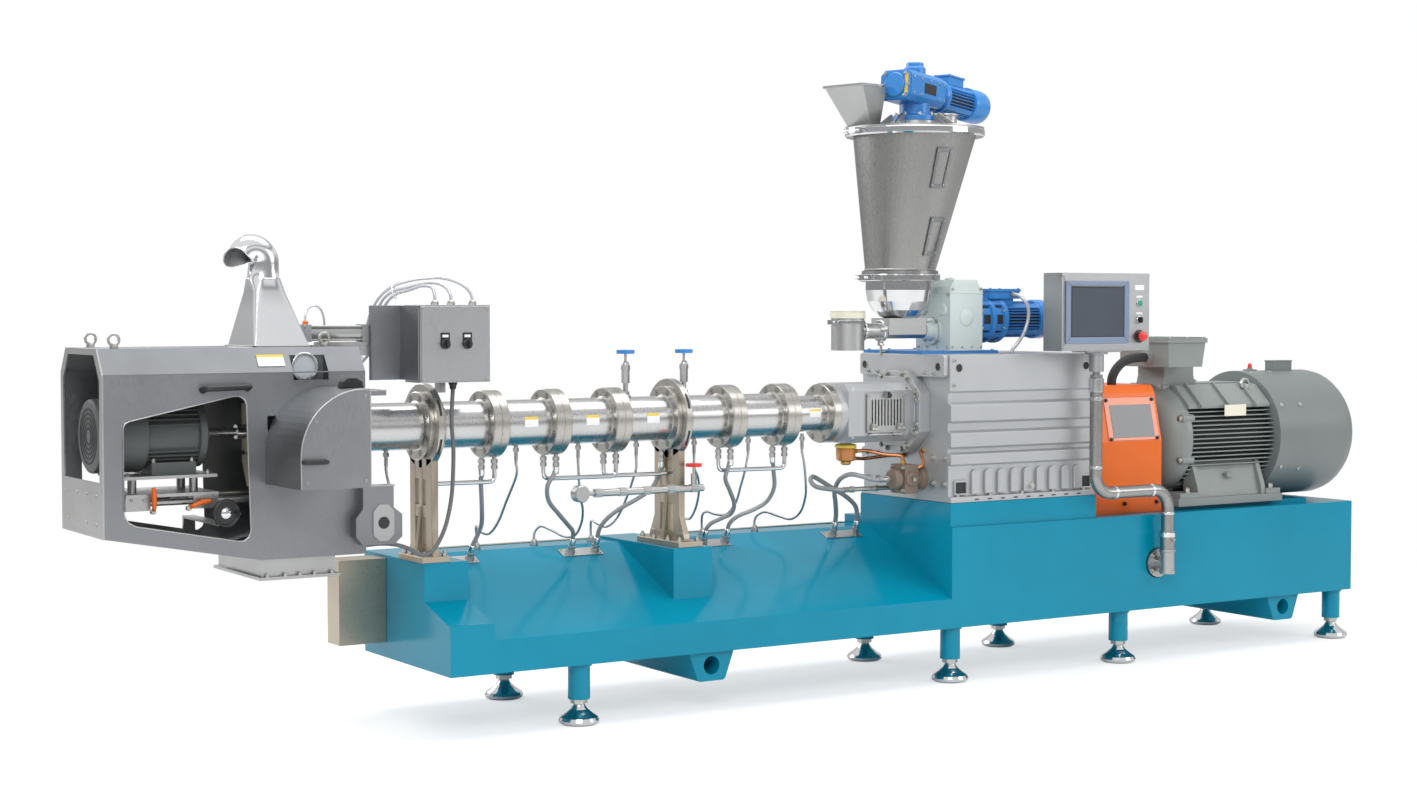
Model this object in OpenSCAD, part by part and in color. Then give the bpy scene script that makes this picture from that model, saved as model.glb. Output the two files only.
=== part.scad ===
// Textured protein extruder: a twin screw barrel on a stepped base,
// a feeder on the gearbox and a face cutter at the outlet end.
// Units are millimetres. X runs along the machine, Z is up.

/* [Base] */
// Length of the base
base_length = 4330; // [4300:5:4360]
// Front face of the base, measured from the screw line
base_front = 300; // [298:1:304]
// Back face of the base, measured from the screw line
base_back = 400; // [395:1:410]
// Underside of the base above the floor
base_floor_gap = 212; // [205:1:220]
// Length of the high part that carries the gearbox and the motor
high_length = 2215; // [2210:1:2220]
// Height of the front lip of the low deck
lip_height = 113; // [105:1:120]

/* [Feet] */
// Diameter of the sleeve above each foot
sleeve_dia = 77; // [70:1:84]
// Diameter of the foot pad
pad_dia = 142; // [130:1:150]

/* [Barrel] */
// Height of the screw line above the underside of the base
axis_rise = 823; // [820:1:826]
// Diameter of a barrel section
barrel_dia = 163; // [158:1:168]
// Diameter of a barrel flange
flange_dia = 235; // [230:1:240]
// Diameter of the two support discs
disc_dia = 290; // [280:1:300]

/* [Gearbox] */
// Length of the gearbox casting
gearbox_length = 735; // [725:1:740]
// Width of the gearbox casting
gearbox_width = 560; // [550:1:564]

/* [Feeder] */
// Rim diameter of the hopper
hopper_rim = 485; // [475:5:495]
// Lower diameter of the hopper
hopper_neck = 270; // [264:1:276]
// Height of the hopper cone
hopper_height = 550; // [540:5:560]
// Sheet thickness of the hopper
hopper_wall = 3; // [2.5:0.1:4]

/* [Cutter] */
// Width of the cutter enclosure
enclosure_width = 432; // [426:2:440]
// Sheet thickness of the cutter enclosure
sheet = 4; // [3:0.1:5]

/* [Motor] */
// Diameter of the main motor frame
motor_dia = 440; // [430:2:446]
// Diameter of the fan cowl
cowl_dia = 545; // [535:1:550]

/* [Panel] */
// Width of the operator panel box
panel_width = 460; // [440:2:464]
// Height of the operator panel box
panel_height = 305; // [290:1:315]

/* [Hidden] */
TEAL = [0.10, 0.52, 0.64];
STEEL = [0.76, 0.76, 0.75];
BEIGE = [0.72, 0.69, 0.62];
CAST = [0.70, 0.71, 0.72];
GREY = [0.50, 0.51, 0.52];
DARK = [0.16, 0.17, 0.18];
SKY = [0.10, 0.38, 0.75];
RED = [0.75, 0.12, 0.10];
ORANGE = [0.90, 0.36, 0.08];
COPPER = [0.75, 0.45, 0.28];
LEAD = [0.62, 0.63, 0.64];

// Levels of the base
bz = base_floor_gap;
deck_z = bz + 353;
seat_z = bz + 361;
ledge_z = bz + 386;
gear_z = bz + 478;
hx = base_length - high_length;
slope_back = 240;
stretch = (hx - 431) / 1684;
// Place along the machine, which follows the length of the barrel and of the base
function along(x) = x < 47 ? x : x < 1731 ? 47 + (x - 47) * stretch : x + hx - 2115;
function places(list) = [for (x = list) along(x)];
FRONT_FEET = places([516, 2150, 3020, 4266]);
BACK_FEET = places([527, 2176, 2883, 4101]);
BEAMS = places([1038, 3932]);
foot_y0 = -base_front + 55;
foot_y1 = base_back - 55;

// Ring joints of the barrel
axis_z = bz + axis_rise;
JOINTS = places([47, 291, 535, 780, 1033, 1272, 1515, 1731]);
br = barrel_dia / 2;
fr = flange_dia / 2;
disc_t = 26;
fl = 32;

// Levels of the gearbox and of the feeder
gw = gearbox_width / 2;
gear_top = bz + 1046;
plate_top = gear_top + 12;
tube_z = gear_top + 90;
bowl_top = gear_top + 282;
cone_z = bowl_top + 30;
rim_z = cone_z + hopper_height;
feed_x = hx - 26;
rim_x = feed_x + 70;
spout_x = hx - 277;

// Cutter enclosure
ew = enclosure_width / 2;
hood_out = 520;
enc_l = -1126;
enc_r = -262;
enc_top = axis_z + 278;
enc_bend = axis_z + 198;
enc_low_l = axis_z - 307;
enc_low = axis_z - 400;
enc_foot = -623;

// Cutter carriage
motor_r = 118;
plate_z = axis_z - 130;
rail_z = axis_z - 210;
rail_y = 110;
wheel_x = -731;
wheel_z = rail_z - 36;

// Main motor
mx0 = hx + 1285;
mx1 = mx0 + 518;
mx2 = mx0 + 1000;
mr = motor_dia / 2;
motor_z = ledge_z + 16 + 276;

// Operator panel
arm_x = along(3180);
arm_y = -base_front - 58;
arm_low = bz + 187;
arm_run = bz + 491;
pan_x = along(2790);
pan_z = gear_top + 11;

// Frame centre
cen_x = (enc_l - 5 + mx2) / 2;
cen_y = (foot_y1 + pad_dia / 2 - hood_out) / 2;

module shift() {
  translate([-cen_x, -cen_y, 0])
    children();
}

module xcyl(x0, x1, y, z, r) {
  translate([x0, y, z])
    rotate([0, 90, 0])
      cylinder(h = x1 - x0, r = r, $fn = 64);
}

module ycyl(y0, y1, x, z, r) {
  translate([x, y0, z])
    rotate([-90, 0, 0])
      cylinder(h = y1 - y0, r = r, $fn = 64);
}

module zcyl(z0, z1, x, y, r) {
  translate([x, y, z0])
    cylinder(h = z1 - z0, r = r, $fn = 64);
}

// Quarter bend of a tube around (x, z), on the side that sx and sz give
module elbow(x, y, z, sx, sz, bend, r) {
  reach = bend + r + 1;
  translate([x, y, z])
    intersection() {
      rotate([90, 0, 0])
        rotate_extrude($fn = 64)
          translate([bend, 0])
            circle(r = r, $fn = 64);
      translate([sx > 0 ? 0 : -reach, -r - 1, sz > 0 ? 0 : -reach])
        cube([reach, 2 * r + 2, reach]);
    }
}

module box(x0, x1, y0, y1, z0, z1) {
  translate([x0, y0, z0])
    cube([x1 - x0, y1 - y0, z1 - z0]);
}

// Profile drawn in Y and Z, pushed along X
module yz(x0, x1, pts) {
  translate([x0, 0, 0])
    rotate([90, 0, 90])
      linear_extrude(height = x1 - x0)
        polygon(pts);
}

// Profile drawn in X and Z, pushed along Y
module xz(y0, y1, pts) {
  translate([0, y1, 0])
    rotate([90, 0, 0])
      linear_extrude(height = y1 - y0)
        polygon(pts);
}

// Smooth path through a few chosen points
function curve(a, b, c, d, t) =
  0.5 * (2 * b + (c - a) * t + (2 * a - 5 * b + 4 * c - d) * t * t
  + (3 * b - a - 3 * c + d) * t * t * t);
function path(p, n) = [
  for (i = [0 : len(p) - 2])
    for (k = [0 : n - 1])
      curve(p[max(i - 1, 0)], p[i], p[i + 1], p[min(i + 2, len(p) - 1)], k / n),
  p[len(p) - 1]];
function unit(v) = v / norm(v);
function heading(q, i) =
  unit(q[min(i + 1, len(q) - 1)] - q[max(i - 1, 0)]);
function flat(t, u) = unit(u - t * (u * t));
function rings(q, i, u) =
  i >= len(q) ? [] :
  let (s = flat(heading(q, i), u)) concat([s], rings(q, i + 1, s));

// Round cord swept along a smooth path
module cord(p, d, n = 5, m = 8) {
  q = path([for (v = p) [along(v[0]), v[1], v[2] + bz - 212]], n);
  s = rings(q, 0, [0.31, 0.9, 0.22]);
  k = len(q);
  pts = [
    for (i = [0 : k - 1])
      let (b = cross(heading(q, i), s[i]))
      for (j = [0 : m - 1])
        q[i] + d / 2 * (s[i] * cos(360 * j / m) + b * sin(360 * j / m))];
  skin = [
    for (i = [0 : k - 2])
      for (j = [0 : m - 1])
        [(i + 1) * m + j, (i + 1) * m + (j + 1) % m, i * m + (j + 1) % m, i * m + j]];
  polyhedron(points = pts, faces = concat(
    [[for (j = [0 : m - 1]) j]],
    skin,
    [[for (j = [0 : m - 1]) k * m - 1 - j]]));
}

// Base with the stepped deck, beams, sleeves and end post
module beam(x) {
  xz(foot_y0 - 35, foot_y1 + 25, [[x - 95, bz], [x - 58, bz - 100], [x - 48, bz - 106],
    [x + 48, bz - 106], [x + 58, bz - 100], [x + 95, bz]]);
}

module base_frame() {
  color(TEAL)
    difference() {
      union() {
        yz(0, hx, [[-base_front, bz], [base_back, bz], [base_back, deck_z],
          [slope_back, deck_z], [-base_front, bz + lip_height]]);
        yz(0, 163, [[-base_front, bz], [base_back, bz], [base_back, seat_z],
          [-100, seat_z], [-100, seat_z - 132], [-base_front + 12, seat_z - 190],
          [-base_front, seat_z - 190]]);
        yz(JOINTS[4] - 77, JOINTS[4] + 85, [[-155, bz], [base_back, bz], [base_back, seat_z],
          [-155, seat_z]]);
        box(hx, base_length, -base_front, base_back, bz, ledge_z);
        box(hx, hx + gearbox_length + 5, -gw - 10, gw + 10, bz, gear_z);
        box(mx0 - 60, mx0 + 750, -205, 205, bz, ledge_z + 16);
        box(-175, 0, 215, 316, bz + 58, deck_z - 4);
        for (x = BEAMS)
          beam(x);
        for (x = FRONT_FEET)
          zcyl(88, bz, x, foot_y0, sleeve_dia / 2);
        for (x = BACK_FEET)
          zcyl(88, bz, x, foot_y1, sleeve_dia / 2);
      }
      for (x = BEAMS)
        ycyl(-base_front, base_back, x, bz - 50, 33);
    }
}

module levelling_feet() {
  pr = pad_dia / 2;
  color(STEEL)
    for (p = concat([for (x = FRONT_FEET) [x, foot_y0]], [for (x = BACK_FEET) [x, foot_y1]]))
      translate([p[0], p[1], 0])
        rotate_extrude($fn = 64)
          polygon([[0, 0], [pr - 12, 0], [pr - 2, 6], [pr, 15], [pr - 5, 25],
            [pr - 24, 38], [30, 52], [22, 64], [19, 70], [19, 88], [0, 88]]);
}

// Hose plates with their fittings on the sloped deck
deck_tilt = atan2(deck_z - bz - lip_height, slope_back + base_front);
function slope_z(y) = deck_z - (slope_back - y) * tan(deck_tilt);
PLATES = [for (p = [[230, 338], [678, 846], [1238, 1408], [1856, 2030]]) places(p)];
TAPS = places([309, 718, 820, 1292, 1392, 1898, 2004]);
tap_y = 184;
GLANDS = [[385, 280], [620, 280], [860, 280], [1255, 265], [1351, 280], [1593, 280]];

module hose_plates() {
  color(STEEL) {
    for (p = PLATES)
      translate([p[0], tap_y, slope_z(tap_y)])
        rotate([deck_tilt, 0, 0])
          translate([0, -26, 0])
            cube([p[1] - p[0], 52, 4]);
    for (x = TAPS)
      translate([x, tap_y, slope_z(tap_y)])
        rotate([deck_tilt, 0, 0]) {
          cylinder(h = 30, r = 12, $fn = 64);
          cylinder(h = 20, r = 17, $fn = 6);
        }
    for (g = GLANDS)
      zcyl(deck_z, deck_z + 20, along(g[0]), g[1], 11);
  }
}

// Barrel sections with a fine seam at each ring joint
seam = 0.4;
module barrel_section(i) {
  x0 = i == 0 ? enc_r - 60 : JOINTS[i - 1];
  x1 = JOINTS[i];
  g0 = (i == 1 || i == 5) ? disc_t / 2 : seam / 2;
  g1 = (i == 0 || i == 4) ? disc_t / 2 : i == 7 ? 0 : seam / 2;
  r = i == 7 ? br - 13 : br;
  if (i > 0)
    xcyl(x0 + g0, x0 + fl, 0, axis_z, fr);
  xcyl(x0 + g0, x1 - g1, 0, axis_z, r);
  xcyl(x1 - fl, x1 - g1, 0, axis_z, i == 7 ? fr - 4 : fr);
}

module screw_barrel() {
  color(STEEL)
    for (i = [0 : 7])
      barrel_section(i);
}

// Support disc, column and bolted foot
module stand(x, fy, gy) {
  color(BEIGE) {
    xcyl(x - disc_t / 2, x + disc_t / 2, 0, axis_z, disc_dia / 2);
    difference() {
      yz(x - disc_t / 2, x + disc_t / 2, [[-gy, seat_z + 20], [gy, seat_z + 20], [gy, seat_z + 32],
        [86, seat_z + 110], [86, axis_z - 110], [-86, axis_z - 110],
        [-86, seat_z + 110], [-gy, seat_z + 32]]);
      for (y = [-44, 14])
        box(x - 20, x + 20, y, y + 30, seat_z + 50, seat_z + 150);
      for (y = [-44, 14])
        box(x - 20, x + 20, y, y + 30, seat_z + 190, seat_z + 280);
    }
    box(x - 52, x + 52, -fy, fy, seat_z, seat_z + 20);
    box(x - 34, x + 34, -10, 10, seat_z + 20, seat_z + 190);
    for (dx = [-38, 38], y = [-fy + 18, -fy / 3, fy / 3, fy - 18])
      zcyl(seat_z + 20, seat_z + 32, x + dx, y, 9);
  }
}

module barrel_stands() {
  stand(JOINTS[0], 98, 96);
  stand(JOINTS[4], 148, 122);
}

// Ports, polished jumper pipes and probes below the flanges
PIPES = [[0, 1], [2, 3], [3, 4], [5, 6]];
PROBES = places([-94, 401, 650, 891, 1139, 1378, 1624]);
port_dy = 14;
port_z = axis_z - fr;
pipe_z = axis_z - 202;
// Distance of a port from its ring joint
function port_dx(i) = i == 0 || i == 4 ? 26 : 18;

module jumper_pipe(a, b) {
  x0 = a == 0 ? JOINTS[0] + port_dx(0) : JOINTS[a] - port_dx(a);
  x1 = JOINTS[b] + port_dx(b);
  turn = atan2(-2 * port_dy, x1 - x0);
  zcyl(pipe_z - 9, port_z - 36, x0, port_dy, 9);
  zcyl(pipe_z - 9, port_z - 36, x1, -port_dy, 9);
  translate([x0, port_dy, pipe_z])
    rotate([0, 0, turn])
      rotate([0, 90, 0])
        cylinder(h = norm([x1 - x0, 2 * port_dy]), r = 7.5, $fn = 64);
}

module barrel_fittings() {
  color(STEEL) {
    zcyl(port_z - 40, port_z + 6, JOINTS[0] + port_dx(0), port_dy, 11);
    for (i = [1 : 6]) {
      zcyl(port_z - 40, port_z + 6, JOINTS[i] - port_dx(i), port_dy, 11);
      zcyl(port_z - 40, port_z + 6, JOINTS[i] + port_dx(i), -port_dy, 11);
    }
    for (p = PIPES)
      jumper_pipe(p[0], p[1]);
    for (x = PROBES) {
      zcyl(axis_z - br - 50, axis_z - br + 10, x, 0, 8);
      zcyl(axis_z - br - 66, axis_z - br - 50, x, 0, 5);
    }
  }
}

// Lantern housing between the barrel and the gearbox
lx0 = JOINTS[7];
lx1 = hx - 50;
pin_y = -123;
pin_z = axis_z - 82;
module lantern() {
  color(CAST) {
    difference() {
      union() {
        yz(lx0 + 30, lx1, [[-86, axis_z - 113], [86, axis_z - 113], [113, axis_z - 86],
          [113, axis_z + 86], [86, axis_z + 113], [-86, axis_z + 113],
          [-113, axis_z + 86], [-113, axis_z - 86]]);
        xcyl(lx0, lx0 + 30, 0, axis_z, fr - 4);
      }
      xcyl(lx0 + 60, lx1 - 20, 0, axis_z, 92);
      box(lx0 + 130, lx1 - 60, -120, 0, axis_z - 62, axis_z + 62);
    }
    xcyl(lx0 + 122, lx1 - 62, pin_y, pin_z, 3);
    for (x = [lx0 + 120, lx1 - 70])
      box(x, x + 8, pin_y - 5, -112, pin_z - 4, pin_z + 4);
  }
}

door_z = axis_z - 74;
module vent_door() {
  color(STEEL)
    difference() {
      union() {
        difference() {
          box(lx0 + 112, lx1 - 44, -121, -118, door_z, axis_z + 76);
          for (i = [0 : 10])
            box(lx0 + 133 + i * 15, lx0 + 139 + i * 15, -122, -117, axis_z - 48, axis_z + 52);
        }
        for (x = [lx0 + 129, lx1 - 101]) {
          xcyl(x, x + 30, pin_y, pin_z, 6);
          box(x, x + 30, -121, -118, pin_z, door_z + 1);
        }
        box(lx0 + 200, lx0 + 210, -134, -120, axis_z + 56, axis_z + 84);
      }
      xcyl(lx0 + 100, lx1, pin_y, pin_z, 3.05);
    }
}

module gearbox() {
  color(CAST)
    difference() {
      union() {
        box(hx + 2, hx + gearbox_length, -gw, gw, gear_z, gear_top);
        yz(hx - 50, hx + 2, [[-75, axis_z - 158], [75, axis_z - 158], [158, axis_z - 75],
          [158, axis_z + 75], [75, axis_z + 158], [-75, axis_z + 158],
          [-158, axis_z + 75], [-158, axis_z - 75]]);
        for (z = [gear_z + 205, gear_z + 250, gear_z + 330])
          box(hx + 2, hx + gearbox_length, -gw - 8, gw + 8, z, z + 26);
        box(hx + 2, hx + gearbox_length, -gw - 8, gw + 8, gear_z, gear_z + 22);
      }
      for (x = [hx + 45, hx + 690])
        ycyl(-gw - 20, -gw + 40, x, gear_top - 50, 16);
    }
}

module feeder_plate() {
  color(SKY)
    box(hx + 2, hx + 385, -105, 276, gear_top, plate_top);
}

module oil_pump() {
  color(GREY) {
    xcyl(hx - 150, hx + 2, -105, gear_z + 88, 40);
    box(hx - 110, hx - 50, -160, -50, gear_z + 30, gear_z + 145);
    xcyl(hx - 205, hx - 150, -105, gear_z + 88, 14);
    xcyl(hx - 300, hx - 50, -40, gear_z + 50, 14);
    box(hx - 60, hx + 2, -52, -28, gear_z + 30, gear_z + 70);
    zcyl(gear_z + 158, gear_z + 208, hx - 300, -20, 38);
    zcyl(gear_z + 208, gear_z + 220, hx - 300, -20, 42);
    xcyl(hx - 300, hx - 50, -20, gear_z + 196, 12);
    xcyl(hx - 325, hx - 300, -40, gear_z + 50, 12);
  }
}

// Orange coupling guard
gx0 = hx + gearbox_length + 12;
gx1 = hx + 1160;
module coupling_guard() {
  t = 3;
  w = 222;
  knee = bz + 680;
  fold = bz + 876;
  top = bz + 908;
  color(ORANGE)
    difference() {
      yz(gx0, gx1, [[-w, ledge_z], [w, ledge_z], [w, knee], [177, fold], [162, top - 6],
        [150, top], [-150, top], [-162, top - 6], [-177, fold], [-w, knee]]);
      yz(gx0 - 5, gx1 - t, [[-w + t, ledge_z - 1], [w - t, ledge_z - 1], [w - t, knee],
        [174, fold - 1], [159, top - 9], [148, top - t], [-148, top - t],
        [-159, top - 9], [-174, fold - 1], [-w + t, knee]]);
      xcyl(gx1 - 10, gx1 + 5, 0, motor_z, 130);
    }
}

module main_motor() {
  box_z = motor_z + mr + 82;
  color(GREY) {
    xcyl(gx0 + 20, mx0, 0, motor_z, 60);
    xcyl(mx0 + 40, mx1, 0, motor_z, mr - 14);
    xcyl(mx0, mx0 + 60, 0, motor_z, mr - 30);
    xcyl(mx0 + 30, mx0 + 58, 0, motor_z, mr);
    for (a = [-70 : 10 : 250])
      translate([mx0 + 50, 0, motor_z])
        rotate([a, 0, 0])
          translate([0, mr - 30, -2.5])
            cube([mx1 - mx0 - 70, 28, 5]);
    for (y = [-250, 130])
      box(mx0 - 51, mx0 + 555, y, y + 120, ledge_z + 16, ledge_z + 50);
    for (y = [-230, 150])
      box(mx0 + 60, mx0 + 500, y, y + 80, ledge_z + 44, motor_z - 90);
    box(mx0 + 20, mx0 + 177, -90, 60, motor_z + 150, box_z);
    xz(-233, 60, [[mx0 - 97, box_z], [mx0 + 93, box_z], [mx0 + 114, box_z + 118],
      [mx0 - 100, box_z + 118]]);
    xcyl(mx0 - 115, mx0 - 96, -110, box_z + 40, 22);
  }
}

module motor_cowl() {
  cr = cowl_dia / 2;
  color(GREY)
    translate([mx1, 0, motor_z])
      rotate([90, 0, 90])
        rotate_extrude($fn = 96)
          polygon([[0, 0], [cr, 0], [cr, mx2 - mx1 - 70], [cr - 6, mx2 - mx1 - 40],
            [cr - 22, mx2 - mx1 - 14], [cr - 48, mx2 - mx1], [0, mx2 - mx1]]);
}

// Feeder hopper, lid, bowl, screw tube and drives
module taper(r0, r1, dx, h) {
  hull() {
    cylinder(h = 0.5, r = r0, $fn = 64);
    translate([dx, 0, h - 0.5])
      cylinder(h = 0.5, r = r1, $fn = 64);
  }
}

module hopper_shell() {
  r0 = hopper_neck / 2;
  r1 = hopper_rim / 2;
  color(STEEL)
    difference() {
      union() {
        translate([feed_x, 0, cone_z])
          taper(r0, r1, rim_x - feed_x, hopper_height);
        zcyl(rim_z - 10, rim_z, rim_x, 0, r1 + 26);
        zcyl(cone_z, cone_z + 12, feed_x, 0, r0 + 14);
      }
      translate([feed_x, 0, cone_z - 0.01])
        taper(r0 - hopper_wall, r1 - hopper_wall, rim_x - feed_x, hopper_height + 0.02);
    }
}

// Lid with the inlet funnel, the stool of the agitator drive and a stub pipe
fun_x = rim_x - 178;
module hopper_lid() {
  r1 = hopper_rim / 2;
  top = rim_z + 20;
  color(STEEL) {
    difference() {
      union() {
        zcyl(rim_z, top, rim_x, 0, r1 + 28);
        zcyl(top, top + 26, rim_x, 0, 92);
        zcyl(top, top + 54, rim_x + 105, -70, 38);
        for (a = [18 : 90 : 288])
          translate([rim_x, 0, top])
            rotate([0, 0, a])
              translate([90, -3, 0])
                rotate([90, 0, 0])
                  translate([0, 0, -6])
                    linear_extrude(height = 6)
                      polygon([[0, 0], [72, 0], [0, 54]]);
      }
      translate([fun_x, 60, rim_z - 1])
        rotate([0, 0, 12])
          translate([-52, -57, 0])
            cube([44, 114, 30]);
    }
    translate([fun_x, 60, top])
      rotate([0, 0, 12])
        difference() {
          funnel_block(0, 0);
          funnel_block(3, 0.5);
        }
  }
}

module funnel_block(t, e) {
  hull() {
    translate([-55 + t, -60 + t, -e])
      cube([50 - 2 * t, 120 - 2 * t, 1]);
    translate([-150 + t, -100 + t, 155 + e])
      cube([140 - 2 * t, 200 - 2 * t, 1]);
  }
}

module agitator_drive() {
  color(SKY)
    translate([rim_x, 0, rim_z + 46]) {
      cylinder(h = 22, r = 86, $fn = 64);
      cylinder(h = 90, r = 60, $fn = 64);
      translate([0, 0, 160])
        cylinder(h = 50, r = 42, $fn = 64);
      translate([0, 0, 205])
        cylinder(h = 26, r = 34, $fn = 64);
      translate([0, 0, 123])
        rotate([0, 5, 18]) {
          translate([-136, -74, -59])
            cube([246, 148, 118]);
          translate([-146, -10, 4])
            rotate([0, 90, 0])
              cylinder(h = 20, r = 48, $fn = 64);
          rotate([0, 90, 0]) {
            cylinder(h = 175, r = 57, $fn = 64);
            translate([0, 0, 130])
              cylinder(h = 35, r = 66, $fn = 64);
            translate([0, 0, 170])
              cylinder(h = 210, r = 58, $fn = 64);
            translate([0, 0, 350])
              cylinder(h = 115, r = 66, $fn = 64);
          }
        }
    }
}

BOWL = [[0, -124], [40, -118], [80, -102], [108, -78], [126, -44]];
module hopper_bowl() {
  r = hopper_neck / 2 - 1;
  h = bowl_top - 33;
  color(STEEL)
    difference() {
      union() {
        zcyl(bowl_top, cone_z, feed_x, 0, r + 20);
        zcyl(h, bowl_top, feed_x, 0, r);
        translate([feed_x, 0, h])
          rotate_extrude($fn = 64)
            polygon(concat(BOWL, [[r, 0], [0, 0]]));
      }
      zcyl(h - 1, cone_z + 1, feed_x, 0, r - 3);
      translate([feed_x, 0, h - 1])
        rotate_extrude($fn = 64)
          polygon([[0, -120], [39, -114], [78, -98], [105, -75], [122, -43], [r - 3, 0], [r - 3, 2], [0, 2]]);
    }
}

module feeder_tube() {
  color(STEEL) {
    xcyl(spout_x + 50, hx + 105, 0, tube_z, 30);
    xcyl(hx + 105, hx + 127, 0, tube_z, 38);
    xcyl(hx + 127, hx + 139, 0, tube_z, 54);
    difference() {
      box(feed_x - 95, feed_x + 85, -58, 58, tube_z - 14, tube_z + 50);
      translate([feed_x, 0, bowl_top - 33])
        rotate_extrude($fn = 64)
          polygon(concat(BOWL, [[126, 60], [0, 60]]));
    }
    difference() {
      zcyl(tube_z - 74, tube_z + 52, spout_x, 0, 64);
      zcyl(tube_z - 75, tube_z - 36, spout_x, 0, 61);
    }
    zcyl(tube_z + 48, tube_z + 76, spout_x, 0, 67);
  }
}

module feeder_gearbox() {
  color(GREY) {
    box(hx + 139, hx + 301, -108, 110, plate_top, plate_top + 248);
    xz(-100, 102, [[hx + 146, plate_top + 248], [hx + 294, plate_top + 248],
      [hx + 278, plate_top + 278], [hx + 166, plate_top + 278]]);
  }
}

module feeder_motor() {
  z = gear_top + 134;
  color(SKY) {
    xcyl(hx + 301, hx + 318, 0, z, 94);
    xcyl(hx + 318, hx + 375, 0, z, 88);
    xcyl(hx + 375, hx + 392, 0, z, 94);
    xcyl(hx + 392, hx + 430, 0, z, 84);
    xcyl(hx + 430, hx + 452, 0, z, 94);
    xcyl(hx + 452, hx + 640, 0, z, 72);
    xcyl(hx + 640, hx + 700, 0, z, 78);
    box(hx + 400, hx + 508, -52, 52, z + 60, z + 82);
    box(hx + 378, hx + 530, -62, 62, z + 82, z + 122);
    ycyl(-74, -62, hx + 491, z + 100, 11);
  }
}

// Cutter enclosure
function octo(s, z0) = [[-ew + s, z0 + s], [ew - s, z0 + s], [ew - s, enc_bend],
  [160 - s, enc_top - s], [-160 + s, enc_top - s], [-ew + s, enc_bend]];

module enclosure_shell() {
  color(GREY) {
    difference() {
      yz(enc_l, enc_r, octo(0, enc_low));
      yz(enc_l - 1, enc_r - sheet, octo(sheet, enc_low));
      xz(-ew - 10, ew + 10, [[-1066, axis_z - 226], [-1066, axis_z + 34],
        [-1060, axis_z + 48], [-1046, axis_z + 55], [-714, axis_z + 125],
        [-692, axis_z + 125], [-676, axis_z + 116], [-668, axis_z + 98],
        [-657, axis_z - 304], [-664, axis_z - 324], [-680, axis_z - 335],
        [-700, axis_z - 335], [-1027, axis_z - 272], [-1050, axis_z - 260],
        [-1062, axis_z - 244]]);
      xz(-ew - 10, ew + 10, [[enc_l - 10, enc_low - 10], [enc_foot, enc_low - 10],
        [enc_foot, enc_low], [enc_l - 10, enc_low_l + (enc_low_l - enc_low) * 10 / (enc_foot - enc_l)]]);
      xcyl(enc_r - 10, enc_r + 1, 0, axis_z, br);
      box(-600, -384, -ew - 10, -ew + 20, axis_z - 140, axis_z + 60);
      box(-612, -368, -196, 196, enc_low - 5, enc_low + sheet + 5);
      box(-511, -389, -ew - 5, -168, enc_bend - 26, enc_top - 26);
    }
    xz(-ew + sheet / 2, ew - sheet / 2, [[enc_l, enc_low_l], [enc_foot, enc_low],
      [enc_foot, enc_low + sheet], [enc_l, enc_low_l + sheet]]);
    difference() {
      xz(-262, -ew, [[-317, axis_z - 280], [-292, axis_z - 248], [-292, axis_z - 178],
        [-184, axis_z - 178], [-184, axis_z - 248], [-154, axis_z - 272],
        [-154, axis_z - 345], [-180, axis_z - 368], [-292, axis_z - 368], [-317, axis_z - 340]]);
      ycyl(-270, -ew + 1, -221, axis_z - 297, 21);
    }
    xcyl(enc_r, enc_r + 14, -40, axis_z - 245, 9);
    xcyl(enc_r, enc_r + 14, -120, axis_z - 385, 10);
    for (y = [60, 95, 130])
      xcyl(enc_r, enc_r + 14, y, axis_z + 190, 11);
    zcyl(enc_top, enc_top + 14, -290, 60, 8);
  }
}

// End frame, rail plates, rails and handwheel bracket
function floor_z(x) = enc_low_l + sheet + (enc_low - enc_low_l) * (x - enc_l) / (enc_foot - enc_l);
module cutter_frame() {
  color(GREY) {
    difference() {
      yz(enc_l - 5, enc_l, [[-ew, enc_low_l], [ew, enc_low_l], [ew, enc_bend],
        [160, enc_top], [-160, enc_top], [-ew, enc_bend]]);
      yz(enc_l - 6, enc_l + 1, [[-185, axis_z - 135], [185, axis_z - 135],
        [190, axis_z + 180], [135, axis_z + 258], [-135, axis_z + 258], [-190, axis_z + 180]]);
    }
    box(enc_l, enc_l + 12, -165, 165, axis_z - 285, axis_z - 150);
    for (y = [-rail_y, rail_y])
      xcyl(enc_l + 12, -345, y, rail_z, 10);
    box(-345, -333, -ew + sheet, ew - sheet, rail_z - 30, rail_z + 30);
    box(wheel_x - 20, wheel_x + 20, -172, 162, wheel_z - 42, wheel_z - 34);
    xz(150, 162, [[wheel_x - 20, floor_z(wheel_x - 20)], [wheel_x + 20, floor_z(wheel_x + 20)],
      [wheel_x + 20, wheel_z - 41], [wheel_x - 20, wheel_z - 41]]);
    difference() {
      box(wheel_x - 20, wheel_x + 20, -172, -145, wheel_z - 36, wheel_z + 20);
      ycyl(-175, -140, wheel_x, wheel_z, 8.05);
    }
  }
}

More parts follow.
